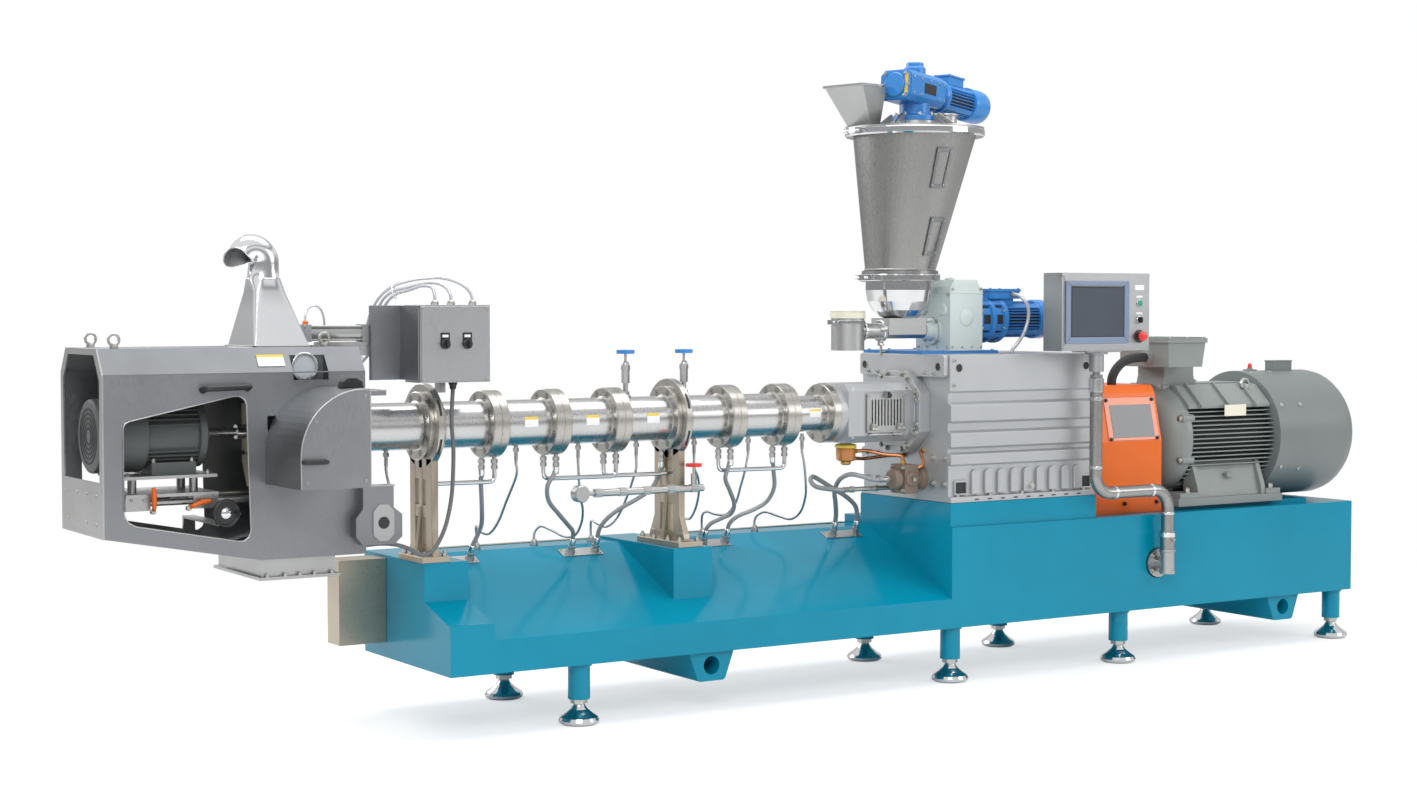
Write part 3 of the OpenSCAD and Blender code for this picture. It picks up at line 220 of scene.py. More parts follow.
class Part:
    """Closed solids in millimetres, gathered in one mesh for one material on one body."""

    def __init__(self, name, mat, body="machine", slot=None, bevel=0.0, angle=34):
        self.name, self.mat, self.body, self.slot = name, mat, body, slot
        self.bevel, self.angle = bevel, angle
        self.V, self.F = [], []

    def add(self, verts, faces):
        k = len(self.V)
        self.V += [tuple(v) for v in verts]
        self.F += [tuple(k + i for i in f) for f in faces]
        return self

    def box(self, x0, x1, y0, y1, z0, z1, mat=None):
        c = [(x, y, z) for z in (z0, z1) for y in (y0, y1) for x in (x0, x1)]
        if mat is not None:
            c = [mat @ Vector(v) for v in c]
        return self.add(c, [(0, 2, 3, 1), (4, 5, 7, 6), (0, 1, 5, 4), (2, 6, 7, 3), (0, 4, 6, 2),
                            (1, 3, 7, 5)])

    def prism(self, pts, axis, lo, hi, mat=None):
        """Outline (counter-clockwise) in the two other axes, pushed along axis."""
        def at(p, h):
            v = {"x": (h, p[0], p[1]), "y": (p[0], h, p[1]), "z": (p[0], p[1], h)}[axis]
            return mat @ Vector(v) if mat is not None else v
        n = len(pts)
        V = [at(p, lo) for p in pts] + [at(p, hi) for p in pts]
        side = [(i, (i + 1) % n, n + (i + 1) % n, n + i) for i in range(n)]
        F = [tuple(reversed(range(n))), tuple(range(n, 2 * n))] + side
        if axis == "y":
            F = [tuple(reversed(f)) for f in F]
        return self.add(V, F)

    def lathe(self, c, d, prof, n=48):
        """Closed turn of (radius, height) steps about the line from c along d."""
        B = basis(d)
        c = Vector(c)
        V, F = [], []
        for r, h in prof:
            for i in range(n):
                a = 2 * pi * i / n
                V.append(c + B @ Vector((r * cos(a), r * sin(a), h)))
        k = len(prof)
        for j in range(k - 1):
            for i in range(n):
                a, b = j * n + i, j * n + (i + 1) % n
                F.append((a, b, b + n, a + n))
        F.append(tuple(reversed(range(n))))
        F.append(tuple(range((k - 1) * n, k * n)))
        return self.add(V, F)

    def ring(self, c, d, ro, ri, h, n=48, ch=0.0):
        """Flat ring with a real hole."""
        B = basis(d)
        c = Vector(c)
        edge = [(ro - ch, 0), (ro, ch), (ro, h - ch), (ro - ch, h)] if ch else [(ro, 0), (ro, h)]
        prof = [(ri, 0)] + edge + [(ri, h)]
        k = len(prof)
        turn = [2 * pi * i / n for i in range(n)]
        V = [c + B @ Vector((r * cos(a), r * sin(a), z)) for r, z in prof for a in turn]
        F = []
        for j in range(k):
            for i in range(n):
                a, b = j * n + i, j * n + (i + 1) % n
                a2, b2 = ((j + 1) % k) * n + i, ((j + 1) % k) * n + (i + 1) % n
                F.append((a, b, b2, a2))
        return self.add(V, F)

    def cyl(self, a, b, r, n=32, ch=0.0):
        a, b = Vector(a), Vector(b)
        h = (b - a).length
        prof = [(r - ch, 0), (r, ch), (r, h - ch), (r - ch, h)] if ch else [(r, 0), (r, h)]
        return self.lathe(a, b - a, prof, n)

    def hexbolt(self, p, d, s=17, h=9, washer=True):
        p, d = Vector(p), Vector(d).normalized()
        if washer:
            self.cyl(p, p + d * 2, s * 0.68, 20)
        self.cyl(p + d * (2 if washer else 0), p + d * (h + 2), s / sqrt(3), 6)
        return self.cyl(p + d * (h + 2), p + d * (h + 5), s * 0.28, 12)

    def socket(self, p, d, r=8, h=8):
        p, d = Vector(p), Vector(d).normalized()
        return self.ring(p, d, r, r * 0.5, h, 20, 0.8)

    def sweep(self, pts, r, n=16, radii=None):
        """Round bar along points."""
        P = [Vector(p) for p in pts]
        k = len(P)
        T = [(P[min(i + 1, k - 1)] - P[max(i - 1, 0)]).normalized() for i in range(k)]
        s = Vector(UP).cross(T[0])
        s = s.normalized() if s.length > 1e-3 else Vector(RIGHT)
        V, F = [], []
        for i in range(k):
            s = (s - T[i] * s.dot(T[i])).normalized()
            b = T[i].cross(s)
            rr = radii[i] if radii else r
            V += [P[i] + rr * (s * cos(2 * pi * j / n) + b * sin(2 * pi * j / n)) for j in range(n)]
        for i in range(k - 1):
            for j in range(n):
                a, c = i * n + j, i * n + (j + 1) % n
                F.append((a, c, c + n, a + n))
        F.append(tuple(reversed(range(n))))
        F.append(tuple(range((k - 1) * n, k * n)))
        return self.add(V, F)

    def done(self, *replaces):
        me = bpy.data.meshes.new(self.name)
        me.from_pydata([W(v) for v in self.V], [], self.F)
        me.validate()
        me.update()
        o = bpy.data.objects.new(self.name, me)
        bpy.context.scene.collection.objects.link(o)
        me.materials.append(M[self.mat])
        finish_mesh(o, self.bevel, self.angle)
        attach(o, self.body)
        if replaces:
            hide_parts(*replaces)
        return o


def finish_mesh(o, bevel, angle=34):
    me = o.data
    me.polygons.foreach_set("use_smooth", [True] * len(me.polygons))
    me.set_sharp_from_angle(angle=radians(angle))
    if bevel:
        b = o.modifiers.new("edge", "BEVEL")
        b.width = bevel / 1000
        b.segments = 2
        b.limit_method = "ANGLE"
        b.angle_limit = radians(angle)
        b.harden_normals = True


def bend_path(pts, radius, n=8):
    """Points of a line with its corners rounded."""
    P = [Vector(p) for p in pts]
    out = [P[0]]
    for i in range(1, len(P) - 1):
        a, b, c = P[i - 1], P[i], P[i + 1]
        u, v = (a - b).normalized(), (c - b).normalized()
        half = acos(max(-1, min(1, u.dot(v)))) / 2
        t = min(radius / tan(half), 0.48 * (a - b).length, 0.48 * (c - b).length)
        p0, p1 = b + u * t, b + v * t
        for k in range(n + 1):
            s = k / n
            out.append(p0 * (1 - s) ** 2 + b * 2 * s * (1 - s) + p1 * s ** 2)
    out.append(P[-1])
    return out


# ---------------------------------------------------------------- camera
CAM_AT, CAM_LENS, CAM_SENSOR = (-3184, -6912, 1445), 56.2, 36
CAM_YAW, CAM_DOWN = radians(32.4), radians(2.265)
cam = bpy.data.cameras.new("camera")
cam.sensor_width = CAM_SENSOR
cam.lens = CAM_LENS
cam_o = bpy.data.objects.new("camera", cam)
bpy.context.scene.collection.objects.link(cam_o)
cam_o.location = W(CAM_AT)
look = Vector((sin(CAM_YAW) * cos(CAM_DOWN), cos(CAM_YAW) * cos(CAM_DOWN), -sin(CAM_DOWN)))
cam_o.rotation_euler = look.to_track_quat("-Z", "Y").to_euler()
bpy.context.scene.camera = cam_o


# ---------------------------------------------------------------- cords
# Each route repeats the points of part.scad: name, diameter, material, points
ROUTES = [
    ("probe_lead_1", 9, "braid", [
        (-94, 0, 890), (-92, -3, 868), (-89, -9, 838), (-104, -20, 806), (-145, -34, 789),
        (-190, -40, 787), (-225, -40, 790), (-251, -40, 790),
    ]),
    ("probe_lead_2", 9, "braid", [
        (401, 0, 890), (405, 0, 868), (410, 25, 832), (410, 90, 754), (407, 150, 674), (392, 190, 630),
        (376, 222, 632), (372, 252, 652), (380, 274, 640), (385, 280, 610), (385, 280, 582),
    ]),
    ("probe_lead_3", 9, "braid", [
        (650, 0, 890), (664, 18, 815), (685, 50, 760), (714, 82, 712), (736, 130, 656), (731, 170, 606),
        (704, 202, 600), (668, 232, 622), (638, 262, 636), (622, 279, 612), (620, 280, 582),
    ]),
    ("probe_lead_4", 9, "braid", [
        (891, 0, 890), (895, 8, 852), (906, 56, 800), (922, 112, 752), (910, 164, 668), (880, 194, 628),
        (856, 230, 638), (852, 262, 646), (858, 279, 615), (860, 280, 582),
    ]),
    ("probe_lead_5", 9, "braid", [
        (1139, 0, 890), (1144, 4, 846), (1176, 30, 805), (1210, 80, 747), (1234, 140, 685),
        (1248, 200, 640), (1255, 250, 632), (1255, 265, 612), (1255, 265, 582),
    ]),
    ("probe_lead_6", 9, "braid", [
        (1378, 0, 890), (1376, 16, 832), (1384, 60, 765), (1394, 110, 698), (1378, 152, 652),
        (1354, 192, 650), (1339, 224, 658), (1338, 256, 645), (1348, 279, 612), (1351, 280, 582),
    ]),
    ("probe_lead_7", 9, "braid", [
        (1624, 0, 890), (1640, 8, 842), (1662, 30, 776), (1684, 62, 715), (1695, 110, 650),
        (1678, 152, 618), (1646, 194, 628), (1614, 234, 642), (1597, 268, 626), (1593, 280, 602),
        (1593, 280, 582),
    ]),
    ("barrel_hose_1", 16, "hose", [
        (273, 14, 880), (275, 22, 830), (300, 66, 742), (325, 118, 676), (324, 142, 638), (312, 160, 598),
        (309, 173, 568),
    ]),
    ("barrel_hose_2", 16, "hose", [
        (553, -14, 880), (545, -14, 850), (524, -4, 806), (550, 34, 750), (612, 76, 698), (668, 114, 655),
        (706, 142, 625), (716, 160, 597), (718, 173, 568),
    ]),
    ("barrel_hose_3", 16, "hose", [
        (1007, 14, 880), (1003, 18, 836), (978, 38, 776), (938, 70, 738), (888, 98, 706), (846, 124, 670),
        (824, 146, 633), (820, 161, 597), (820, 173, 568),
    ]),
    ("barrel_hose_4", 16, "hose", [
        (1290, -14, 880), (1282, -12, 846), (1278, 2, 802), (1318, 32, 752), (1360, 68, 700),
        (1368, 100, 660), (1340, 126, 640), (1308, 146, 622), (1293, 161, 597), (1292, 173, 568),
    ]),
    ("barrel_hose_5", 16, "hose", [
        (1497, 14, 880), (1508, 22, 822), (1530, 50, 756), (1520, 84, 700), (1478, 112, 668),
        (1426, 134, 646), (1398, 150, 622), (1392, 161, 597), (1392, 173, 568),
    ]),
    ("oil_hose_1", 18, "hose", [
        (1911, -105, 778), (1886, -106, 780), (1845, -96, 792), (1806, -60, 800), (1792, -10, 776),
        (1806, 40, 728), (1846, 90, 680), (1882, 136, 634), (1896, 160, 598), (1898, 173, 568),
    ]),
    ("oil_hose_2", 18, "hose", [
        (1790, -40, 740), (1768, -36, 741), (1738, 0, 744), (1712, 34, 752), (1704, 56, 772),
        (1728, 76, 786), (1772, 86, 768), (1838, 96, 734), (1912, 112, 698), (1974, 134, 656),
        (2000, 158, 606), (2004, 173, 568),
    ]),
    ("box_conduit_1", 11, "clear_lead", [
        (34, -120, 1459), (34, -119, 1482), (28, -106, 1508), (5, -76, 1512), (-24, -42, 1499),
        (-53, -8, 1487), (-76, 20, 1460), (-90, 40, 1415), (-100, 52, 1355), (-125, 58, 1288),
        (-170, 60, 1242), (-215, 60, 1226), (-251, 60, 1225),
    ]),
    ("box_conduit_2", 11, "clear_lead", [
        (94, -120, 1459), (93, -118, 1484), (82, -104, 1508), (60, -82, 1522), (26, -54, 1522),
        (-13, -26, 1511), (-57, 8, 1496), (-84, 38, 1468), (-100, 62, 1415), (-112, 80, 1350),
        (-140, 92, 1285), (-185, 95, 1240), (-225, 95, 1226), (-251, 95, 1225),
    ]),
    ("box_conduit_3", 11, "clear_lead", [
        (195, -78, 1459), (192, -76, 1484), (170, -68, 1512), (132, -55, 1532), (89, -44, 1541),
        (55, -32, 1540), (7, -10, 1534), (-46, 20, 1516), (-84, 50, 1484), (-108, 74, 1435),
        (-122, 98, 1365), (-145, 117, 1295), (-185, 128, 1248), (-225, 130, 1228), (-251, 130, 1225),
    ]),
    ("control_cable", 14, "cable", [
        (105, -110, 1174), (103, -112, 1150), (98, -117, 1110), (93, -124, 1045), (95, -132, 967),
        (90, -140, 890), (82, -146, 813), (67, -152, 746), (48, -155, 690), (20, -155, 640),
        (-12, -155, 612), (-44, -152, 614), (-84, -150, 636), (-128, -148, 650), (-175, -140, 655),
        (-215, -124, 652), (-251, -120, 650),
    ]),
    ("feeder_conduit", 14, "clear_lead", [
        (2606, -73, 1492), (2609, -92, 1489), (2620, -112, 1474), (2631, -124, 1450), (2636, -128, 1418),
        (2630, -128, 1378), (2610, -128, 1334), (2580, -130, 1298), (2552, -134, 1275), (2538, -138, 1257),
    ]),
    ("motor_conduit", 38, "rubber", [
        (3287, -110, 1232), (3262, -110, 1231), (3215, -108, 1228), (3170, -104, 1214), (3134, -100, 1184),
        (3114, -98, 1150), (3110, -98, 1116),
    ]),
    ("air_hose", 8, "clear_lead", [
        (-381, 0, 1392), (-381, 0, 1412), (-370, 3, 1436), (-344, 9, 1446), (-318, 20, 1434),
        (-300, 36, 1402), (-292, 52, 1368), (-290, 60, 1344), (-290, 60, 1324),
    ]),
]


def smooth_path(p, n):
    """The same smooth line as the CAD route: n steps between two points."""
    P = [Vector(q) for q in p]
    out = []
    for i in range(len(P) - 1):
        a, b, c, d = P[max(i - 1, 0)], P[i], P[i + 1], P[min(i + 2, len(P) - 1)]
        for k in range(n):
            t = k / n
            square, cube = 2 * a - 5 * b + 4 * c - d, 3 * b - a - 3 * c + d
            out.append(0.5 * (2 * b + (c - a) * t + square * t * t + cube * t ** 3))
    return out + [P[-1]]


def even(P, count):
    """count points at equal steps along a fine line."""
    L = [0.0]
    for a, b in zip(P, P[1:]):
        L.append(L[-1] + (b - a).length)
    out, j = [], 0
    for k in range(count):
        s = L[-1] * k / (count - 1)
        while j < len(L) - 2 and L[j + 1] < s:
            j += 1
        f = (s - L[j]) / max(L[j + 1] - L[j], 1e-9)
        out.append(P[j].lerp(P[j + 1], min(1, f)))
    return out, L[-1]


for name, dia, mat, pts in ROUTES:
    line, length = even(smooth_path(pts, 16), 36)
    cu = bpy.data.curves.new(name + "_line", "CURVE")
    cu.dimensions = "3D"
    cu.bevel_depth = dia / 2000
    cu.bevel_resolution = 5
    cu.resolution_u = 4
    cu.use_fill_caps = True
    sp = cu.splines.new("BEZIER")
    sp.bezier_points.add(len(line) - 1)
    for bp, q in zip(sp.bezier_points, line):
        bp.co = W(q)
        bp.handle_left_type = bp.handle_right_type = "AUTO"
    o = bpy.data.objects.new(name + "_line", cu)
    bpy.context.scene.collection.objects.link(o)
    cu.materials.append(M[mat])
    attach(o, "machine")
    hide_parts(name)


# ---------------------------------------------------------------- barrel
BR, FR, FL = 81.5, 117.5, 32  # barrel radius, flange radius, flange thickness
LAST_R = 68.5  # radius of the section at the lantern
TAGS = ((395, BR), (640, BR), (890, BR), (1612, LAST_R))

barrel = Part("barrel_sections", "turned", bevel=0.0)
flanges = Part("barrel_flanges", "turned_warm", slot="stainless")
seams = Part("barrel_seams", "shade_and_seam_dark")
# Dark rings and discs under the screw heads are painted shade in the counterbores and sockets
bolts = Part("barrel_bolt_recess_shade", "shade_and_seam_dark")
heads = Part("barrel_screws", "zinc")
for i in range(8):
    x0 = -322 if i == 0 else JOINTS[i - 1]
    x1 = JOINTS[i]
    r = LAST_R if i == 7 else BR
    g0 = 13 if i in (1, 5) else 0.3
    g1 = 13 if i in (0, 4) else 0.3 if i < 7 else 0
    a, b = x0 + g0, x1 - g1
    barrel.lathe((a, 0, AX), RIGHT, [(60, 0), (r, 0), (r, b - a), (60, b - a)], 72)
    if i:
        w = FL - g0
        flanges.lathe((a, 0, AX), RIGHT, [(r - 1, 0), (FR - 0.8, 0), (FR, 0.8), (FR, w - 3), (FR - 3, w),
                                          (r + 5, w), (r - 1, w + 5)], 80)
    w = FL - g1
    fr = 113.5 if i == 7 else FR
    flanges.lathe((b - w, 0, AX), RIGHT, [(r - 1, -5), (r + 5, 0), (fr - 3, 0), (fr, 3), (fr, w - 0.8),
                                          (fr - 0.8, w), (r - 1, w)], 80)
    x = x1 - FL
    for y, z in circle(8, 99, 22.5):
        bolts.ring((x - 0.4, y, AX + z), RIGHT, 10.5, 5.2, 2, 24)
        bolts.cyl((x - 0.2, y, AX + z), (x + 1, y, AX + z), 9, 20)
        heads.ring((x - 0.6, y, AX + z), RIGHT, 8, 4.4, 3, 20, 0.6)
for x in JOINTS[:7]:
    if x not in (47, 1033):
        seams.lathe((x - 0.3, 0, AX), RIGHT, [(90, 0), (FR - 1.2, 0), (FR - 1.2, 0.6), (90, 0.6)], 64)
# Bare plates where the real sections carry stickers
for kind, lo, hi in (("white", -8, 10), ("yellow_plate", 10, 17)):
    tag = Part("barrel_blank_" + kind, kind, bevel=0.1)
    for x0, r in TAGS:
        angles = [180 - (lo + (hi - lo) * k / 6) for k in range(7)]
        strips = [[polar(radius, a) for a in angles] for radius in (r + 1, r - 1)]
        corners = [(x, y, AX + z) for strip in strips for x in (x0, x0 + 52) for y, z in strip]
        faces = []
        for k in range(6):
            faces += [(k, k + 1, k + 8, k + 7), (14 + k, 21 + k, 22 + k, 15 + k)]
            faces += [(k, 14 + k, 15 + k, k + 1), (7 + k, 8 + k, 22 + k, 21 + k)]
        faces += [(0, 7, 21, 14), (6, 20, 27, 13)]
        tag.add(corners, faces)
    tag.done()
# Section ends that the enclosure wall grips
barrel.lathe((-262, 0, AX), RIGHT, [(BR, 0), (BR + 9, 0), (BR + 9, 9), (BR + 6, 12), (BR, 12)], 72)
barrel.done("screw_barrel")
flanges.done()
seams.done()
bolts.done()
heads.done()

# Support discs: rim slot, screws, and the columns with their windows
stand = Part("stand_plates", "beige", bevel=1.6)
disc = Part("support_discs", "turned_warm")
feet = Part("stand_bolts", "zinc")
# Dark rods along the rim slots are painted shade inside the slots
dark = Part("stand_slot_shade", "shade_and_seam_dark")
for x, fy, gy in ((47, 98, 96), (1033, 148, 122)):
    disc.lathe((x - 13, 0, AX), RIGHT, [(70, 0), (143, 0), (145, 2), (145, 24), (143, 26), (70, 26)], 96)
    for slot in (-152, -28, 152, 28):
        for k in range(-4, 5):
            ends = [polar(radius, slot + 2.6 * k) for radius in (143, 145.4)]
            dark.cyl(*[(x, y, AX + z) for y, z in ends], 5, 14)
    # Column as three bars and two cross pieces round its windows
    for y0, y1 in ((-86, -44), (-14, 14), (44, 86)):
        stand.box(x - 13, x + 13, y0, y1, SEAT + 48, AX - 108)
    stand.box(x - 12, x + 12, -85, 85, SEAT + 150, SEAT + 190)
    stand.box(x - 12, x + 12, -85, 85, SEAT + 280, AX - 109)
    stand.prism([(-gy, SEAT + 20), (gy, SEAT + 20), (gy, SEAT + 32), (gy - 8, SEAT + 50),
                 (-gy + 8, SEAT + 50), (-gy, SEAT + 32)], "x", x - 13, x + 13)
    stand.prism([(-gy + 6, SEAT + 48), (-86, SEAT + 48), (-86, SEAT + 112)], "x", x - 11, x + 11)
    stand.prism([(86, SEAT + 48), (gy - 6, SEAT + 48), (86, SEAT + 112)], "x", x - 11, x + 11)
    stand.box(x - 52, x + 52, -fy, fy, SEAT, SEAT + 20)
    stand.prism([(x - 34, SEAT + 20), (x + 34, SEAT + 20), (x + 15, SEAT + 190), (x - 15, SEAT + 190)], "y",
                -10, 10)
    for dx in (-38, 38):
        for y in (-fy + 18, -fy / 3, fy / 3, fy - 18):
            feet.hexbolt((x + dx, y, SEAT + 20), UP, 16, 9)
            feet.cyl((x + dx, y, SEAT + 20), (x + dx, y, SEAT + 38), 5, 14)
stand.done("barrel_stands")
disc.done()
feet.done()
dark.done()

# Ports, probes and polished jumper pipes
PZ = AX - FR
hexes = Part("port_fittings", "satin", bevel=0.5)
pipes = Part("jumper_pipes", "polished")
ports = [(73, 14)]
for i in range(1, 7):
    dx = 26 if i == 4 else 18
    ports += [(JOINTS[i] - dx, 14), (JOINTS[i] + dx, -14)]
for x, y in ports:
    hexes.cyl((x, y, PZ + 4), (x, y, PZ - 9), 8, 20)
    hexes.cyl((x, y, PZ - 6), (x, y, PZ - 20), 12.5, 6)
    hexes.cyl((x, y, PZ - 20), (x, y, PZ - 26), 9, 20)
    hexes.cyl((x, y, PZ - 26), (x, y, PZ - 40), 12, 6)
PIPEZ = AX - 202
for a, b in ((0, 1), (2, 3), (3, 4), (5, 6)):
    x0 = 73 if a == 0 else JOINTS[a] - (26 if a == 4 else 18)
    x1 = JOINTS[b] + (26 if b == 4 else 18)
    path = bend_path([(x0, 14, PZ - 38), (x0, 14, PIPEZ), (x1, -14, PIPEZ), (x1, -14, PZ - 38)], 34, 8)
    pipes.sweep(path, 8, 18)
for x in PROBES:
    z = AX - BR
    hexes.cyl((x, 0, z + 6), (x, 0, z - 10), 7, 20)
    hexes.cyl((x, 0, z - 6), (x, 0, z - 20), 10.5, 6)
    hexes.cyl((x, 0, z - 20), (x, 0, z - 52), 6, 20)
    for k in range(7):
        hexes.lathe((x, 0, z - 50 + 4 * k), UP, [(5, 0), (7.4, 1), (7.4, 2), (5, 3)], 18)
    hexes.cyl((x, 0, z - 48), (x, 0, z - 66), 5, 18)
hexes.done("barrel_fittings")
pipes.done()

# Plates on the deck where the hoses end
TILT = atan2(DECK - BZ - 113, 240 + 300)


def slope_z(y):
    return DECK - (240 - y) * tan(TILT)


R = Matrix.Translation(Vector((0, 184, slope_z(184)))) @ Matrix.Rotation(TILT, 4, "X")
plates = Part("deck_plates", "satin", bevel=0.8)
taps = Part("deck_taps", "satin", bevel=0.5)
ferr = Part("hose_ferrules", "polished")
for x0, x1 in ((230, 338), (678, 846), (1238, 1408), (1856, 2030)):
    plates.box(x0, x1, -26, 26, 0, 4, R)
    for x in (x0 + 10, x1 - 10):
        for y in (-17, 17):
            p = R @ Vector((x, y, 4))
            taps.cyl(p, p + R.to_3x3() @ Vector((0, 0, 3)), 4.2, 6)
for x in (309, 718, 820, 1292, 1392, 1898, 2004):
    d = R.to_3x3() @ Vector(UP)
    p = R @ Vector((x, 0, 0))
    taps.cyl(p, p + d * 16, 17, 6)
    taps.cyl(p + d * 14, p + d * 22, 12, 24)
    taps.cyl(p + d * 20, p + d * 31, 15, 6)
    ferr.lathe(p + d * 30, d, [(8, 0), (11.5, 1), (11.5, 24), (10, 28), (8.2, 30)], 24)
for x, y in ((385, 280), (620, 280), (860, 280), (1255, 265), (1351, 280), (1593, 280)):
    taps.cyl((x, y, DECK), (x, y, DECK + 8), 15, 6)
    taps.lathe((x, y, DECK + 8), UP, [(9, 0), (12, 0), (12, 8), (9, 14), (5, 16)], 24)
plates.done("hose_plates")
taps.done()
ferr.done()
hose_ends = Part("hose_top_ferrules", "polished")
for x, y in ((273, 14), (553, -14), (1007, 14), (1290, -14), (1497, 14)):
    hose_ends.lathe((x, y, PZ - 40), DOWN, [(8, 0), (11.5, 1), (11.5, 22), (10, 26), (8.2, 28)], 24)
hose_ends.done()

# Needle valves and the steam pipe
valves = Part("needle_valves", "satin", bevel=0.6)
TOPV = AX + BR + 128
NEEDLES = (847, 1095)
SY, SZ = -125, 785  # line of the steam pipe
for x in NEEDLES:
    z = AX + BR - 4
    valves.cyl((x, 0, z), (x, 0, z + 10), 20, 32, 2)
    valves.cyl((x, 0, z + 8), (x, 0, z + 24), 14.5, 6)
    valves.cyl((x, 0, z + 12), (x, 0, TOPV - 44), 9, 24)
    valves.cyl((x, 0, TOPV - 78), (x, 0, TOPV - 30), 15, 6)
    valves.cyl((x, 0, TOPV - 30), (x, 0, TOPV - 14), 17, 6)
    valves.lathe((x, 0, TOPV - 14), UP, [(6, 0), (14, 0), (13, 8), (9, 14), (6, 14)], 28)
valves.cyl((648, SY, SZ), (1100, SY, SZ), 13, 28, 1)
for x in (660, 760, 860, 960, 1060):
    valves.cyl((x - 14, SY, SZ), (x + 14, SY, SZ), 17, 6)
valves.cyl((1060, SY, SZ), (1060, SY, SZ + 53), 11, 6)
valves.cyl((608, SY, SZ), (648, SY, SZ), 8, 20)
valves.lathe((590, SY + 20, SZ), FRONT, [(24, 0), (30, 2), (30, 34), (27, 38), (27, 40)], 40)
valves.box(1020, 1046, SY, -86, SZ - 10, SZ + 10)
valves.done("barrel_valves")
WHEELS = (
    ("valve_wheel_1", NEEDLES[0], 0, TOPV, TOPV - 20, 33, 14, "sky"),
    ("valve_wheel_2", NEEDLES[1], 0, TOPV, TOPV - 20, 33, 14, "sky"),
    ("steam_wheel", 1060, SY, SZ + 50, 816, 30, 12, "red"),
)
for body, x, y, z, stem_foot, radius, thick, mat in WHEELS:
    low = z + 28
    scallop = []
    for k in range(48):
        a = 2 * pi * k / 48
        r = radius - 1.1 * (1 + cos(8 * a))
        scallop.append((x + r * cos(a), y + r * sin(a)))
    knob = Part(body + "_knob", mat, body=body, bevel=0.8)
    knob.prism(scallop, "z", low, low + thick)
    knob.done(body)
    stem = Part(body + "_stem", "zinc", body=body)
    stem.cyl((x, y, stem_foot), (x, y, low + 1), 4.9, 18)
    stem.cyl((x, y, low + 13), (x, y, low + thick), 7, 6)
    stem.done()

# ---------------------------------------------------------------- gearbox
GL, GR = HX + 2, HX + 735  # ends of the casting
MZ = 890.0  # height of the motor axis
SIDE = [(-288, 690), (-288, 712), (-272, 716), (-272, 832), (-288, 838), (-288, 876), (-268, 884),
        (-268, 898), (-288, 905), (-288, 958), (-268, 968), (-268, 996), (-288, 1004), (-288, 1066),
        (-268, 1078), (-268, 1112), (-280, 1119), (-280, 1258)]
gear = Part("gearbox_casting", "cast", bevel=3)
gear.prism([(-y, z) for y, z in SIDE] + [(y, z) for y, z in reversed(SIDE)], "x", GL, GR)
gear.prism([(-262, 1172), (262, 1172), (270, 1180), (270, 1250), (262, 1258), (-262, 1258), (-270, 1250),
            (-270, 1180)], "x", GL - 22, GL)
octa = [(-75, -158), (75, -158), (158, -75), (158, 75), (75, 158), (-75, 158), (-158, 75), (-158, -75)]
gear.prism([(y, AX + z) for y, z in octa], "x", HX - 50, GL)
gear.prism([(y * 0.86, AX + z * 0.86) for y, z in octa], "x", HX - 58, HX - 50)
for s in (-1, 1):
    for i in range(9):
        x = GL + 127 + i * 65
        y0, y1 = sorted((s * 271, s * 285))
        arc = [(x + u, 796 + v) for u, v in circle(20, 20)[:11]]
        gear.prism(arc + [(x - 20, 722), (x + 20, 722)], "y", y0, y1)
    for x0, x1 in ((GL + 24, GL + 88), (GL + 666, GL + 720)):
        y0, y1 = sorted((s * 271, s * 282))
        gear.box(x0, x1, y0, y1, 768, 776)
        gear.box(x0, x1, y0, y1, 720, 726)
        gear.box(x0, x0 + 6, y0, y1, 724, 770)
        gear.box(x1 - 6, x1, y0, y1, 724, 770)
gear.done("gearbox")

# Dark discs and strips in the holes, under the bars and in the pockets are painted shade
holes = Part("gearbox_hole_shade", "shade_and_seam_dark")
rims = Part("gearbox_rims", "zinc")
for s in (-1, 1):
    for x in (HX + 45, HX + 690):
        holes.cyl((x, s * 279, 1208), (x, s * 280.6, 1208), 16)
        rims.ring((x, s * 279.5, 1208), (0, s, 0), 19, 15.5, 2.4, 32, 0.6)
    for i in range(9):
        holes.box(GL + 117 + i * 65, GL + 137 + i * 65, *sorted((s * 287.4, s * 288.6)), 698, 703)
    for x0, x1 in ((GL + 28, GL + 84), (GL + 670, GL + 716)):
        holes.box(x0, x1, *sorted((s * 272, s * 273.5)), 726, 768)
for y in (-235, 235):
    holes.cyl((GL - 22.6, y, 1212), (GL - 20, y, 1212), 15)
    rims.ring((GL - 24, y, 1212), RIGHT, 19, 15, 3, 32, 0.6)
holes.done()
rims.cyl((HX + 402, -296, 742), (HX + 402, -270, 742), 13, 6)
rims.cyl((HX + 402, -300, 742), (HX + 402, -295, 742), 8, 20)
rims.done()

bolts = Part("drive_bolts", "zinc")
for a, b in zip(octa, octa[1:] + octa[:1]):
    for t in (0.16, 0.84):
        y, z = (a[0] + (b[0] - a[0]) * t) * 0.93, (a[1] + (b[1] - a[1]) * t) * 0.93
        bolts.hexbolt((HX - 50, y, AX + z), LEFT, 19, 11)
for y in (-210, -150, 0, 150, 210):
    bolts.socket((GL - 22, y, 1186), LEFT, 7, 7)
for s in (-1, 1):
    for x in (GL + 20, GR - 20):
        for z in (1140, 1236):
            bolts.socket((x, s * 280, z), (0, s, 0), 7, 6)
    for i in range(5):
        bolts.hexbolt((GL + 40 + i * 160, s * 279, 712), UP, 14, 8)
for y in (-250, -180, 180, 250):
    for z in (760, 860):
        bolts.hexbolt((GL, y, z), LEFT, 18, 10)

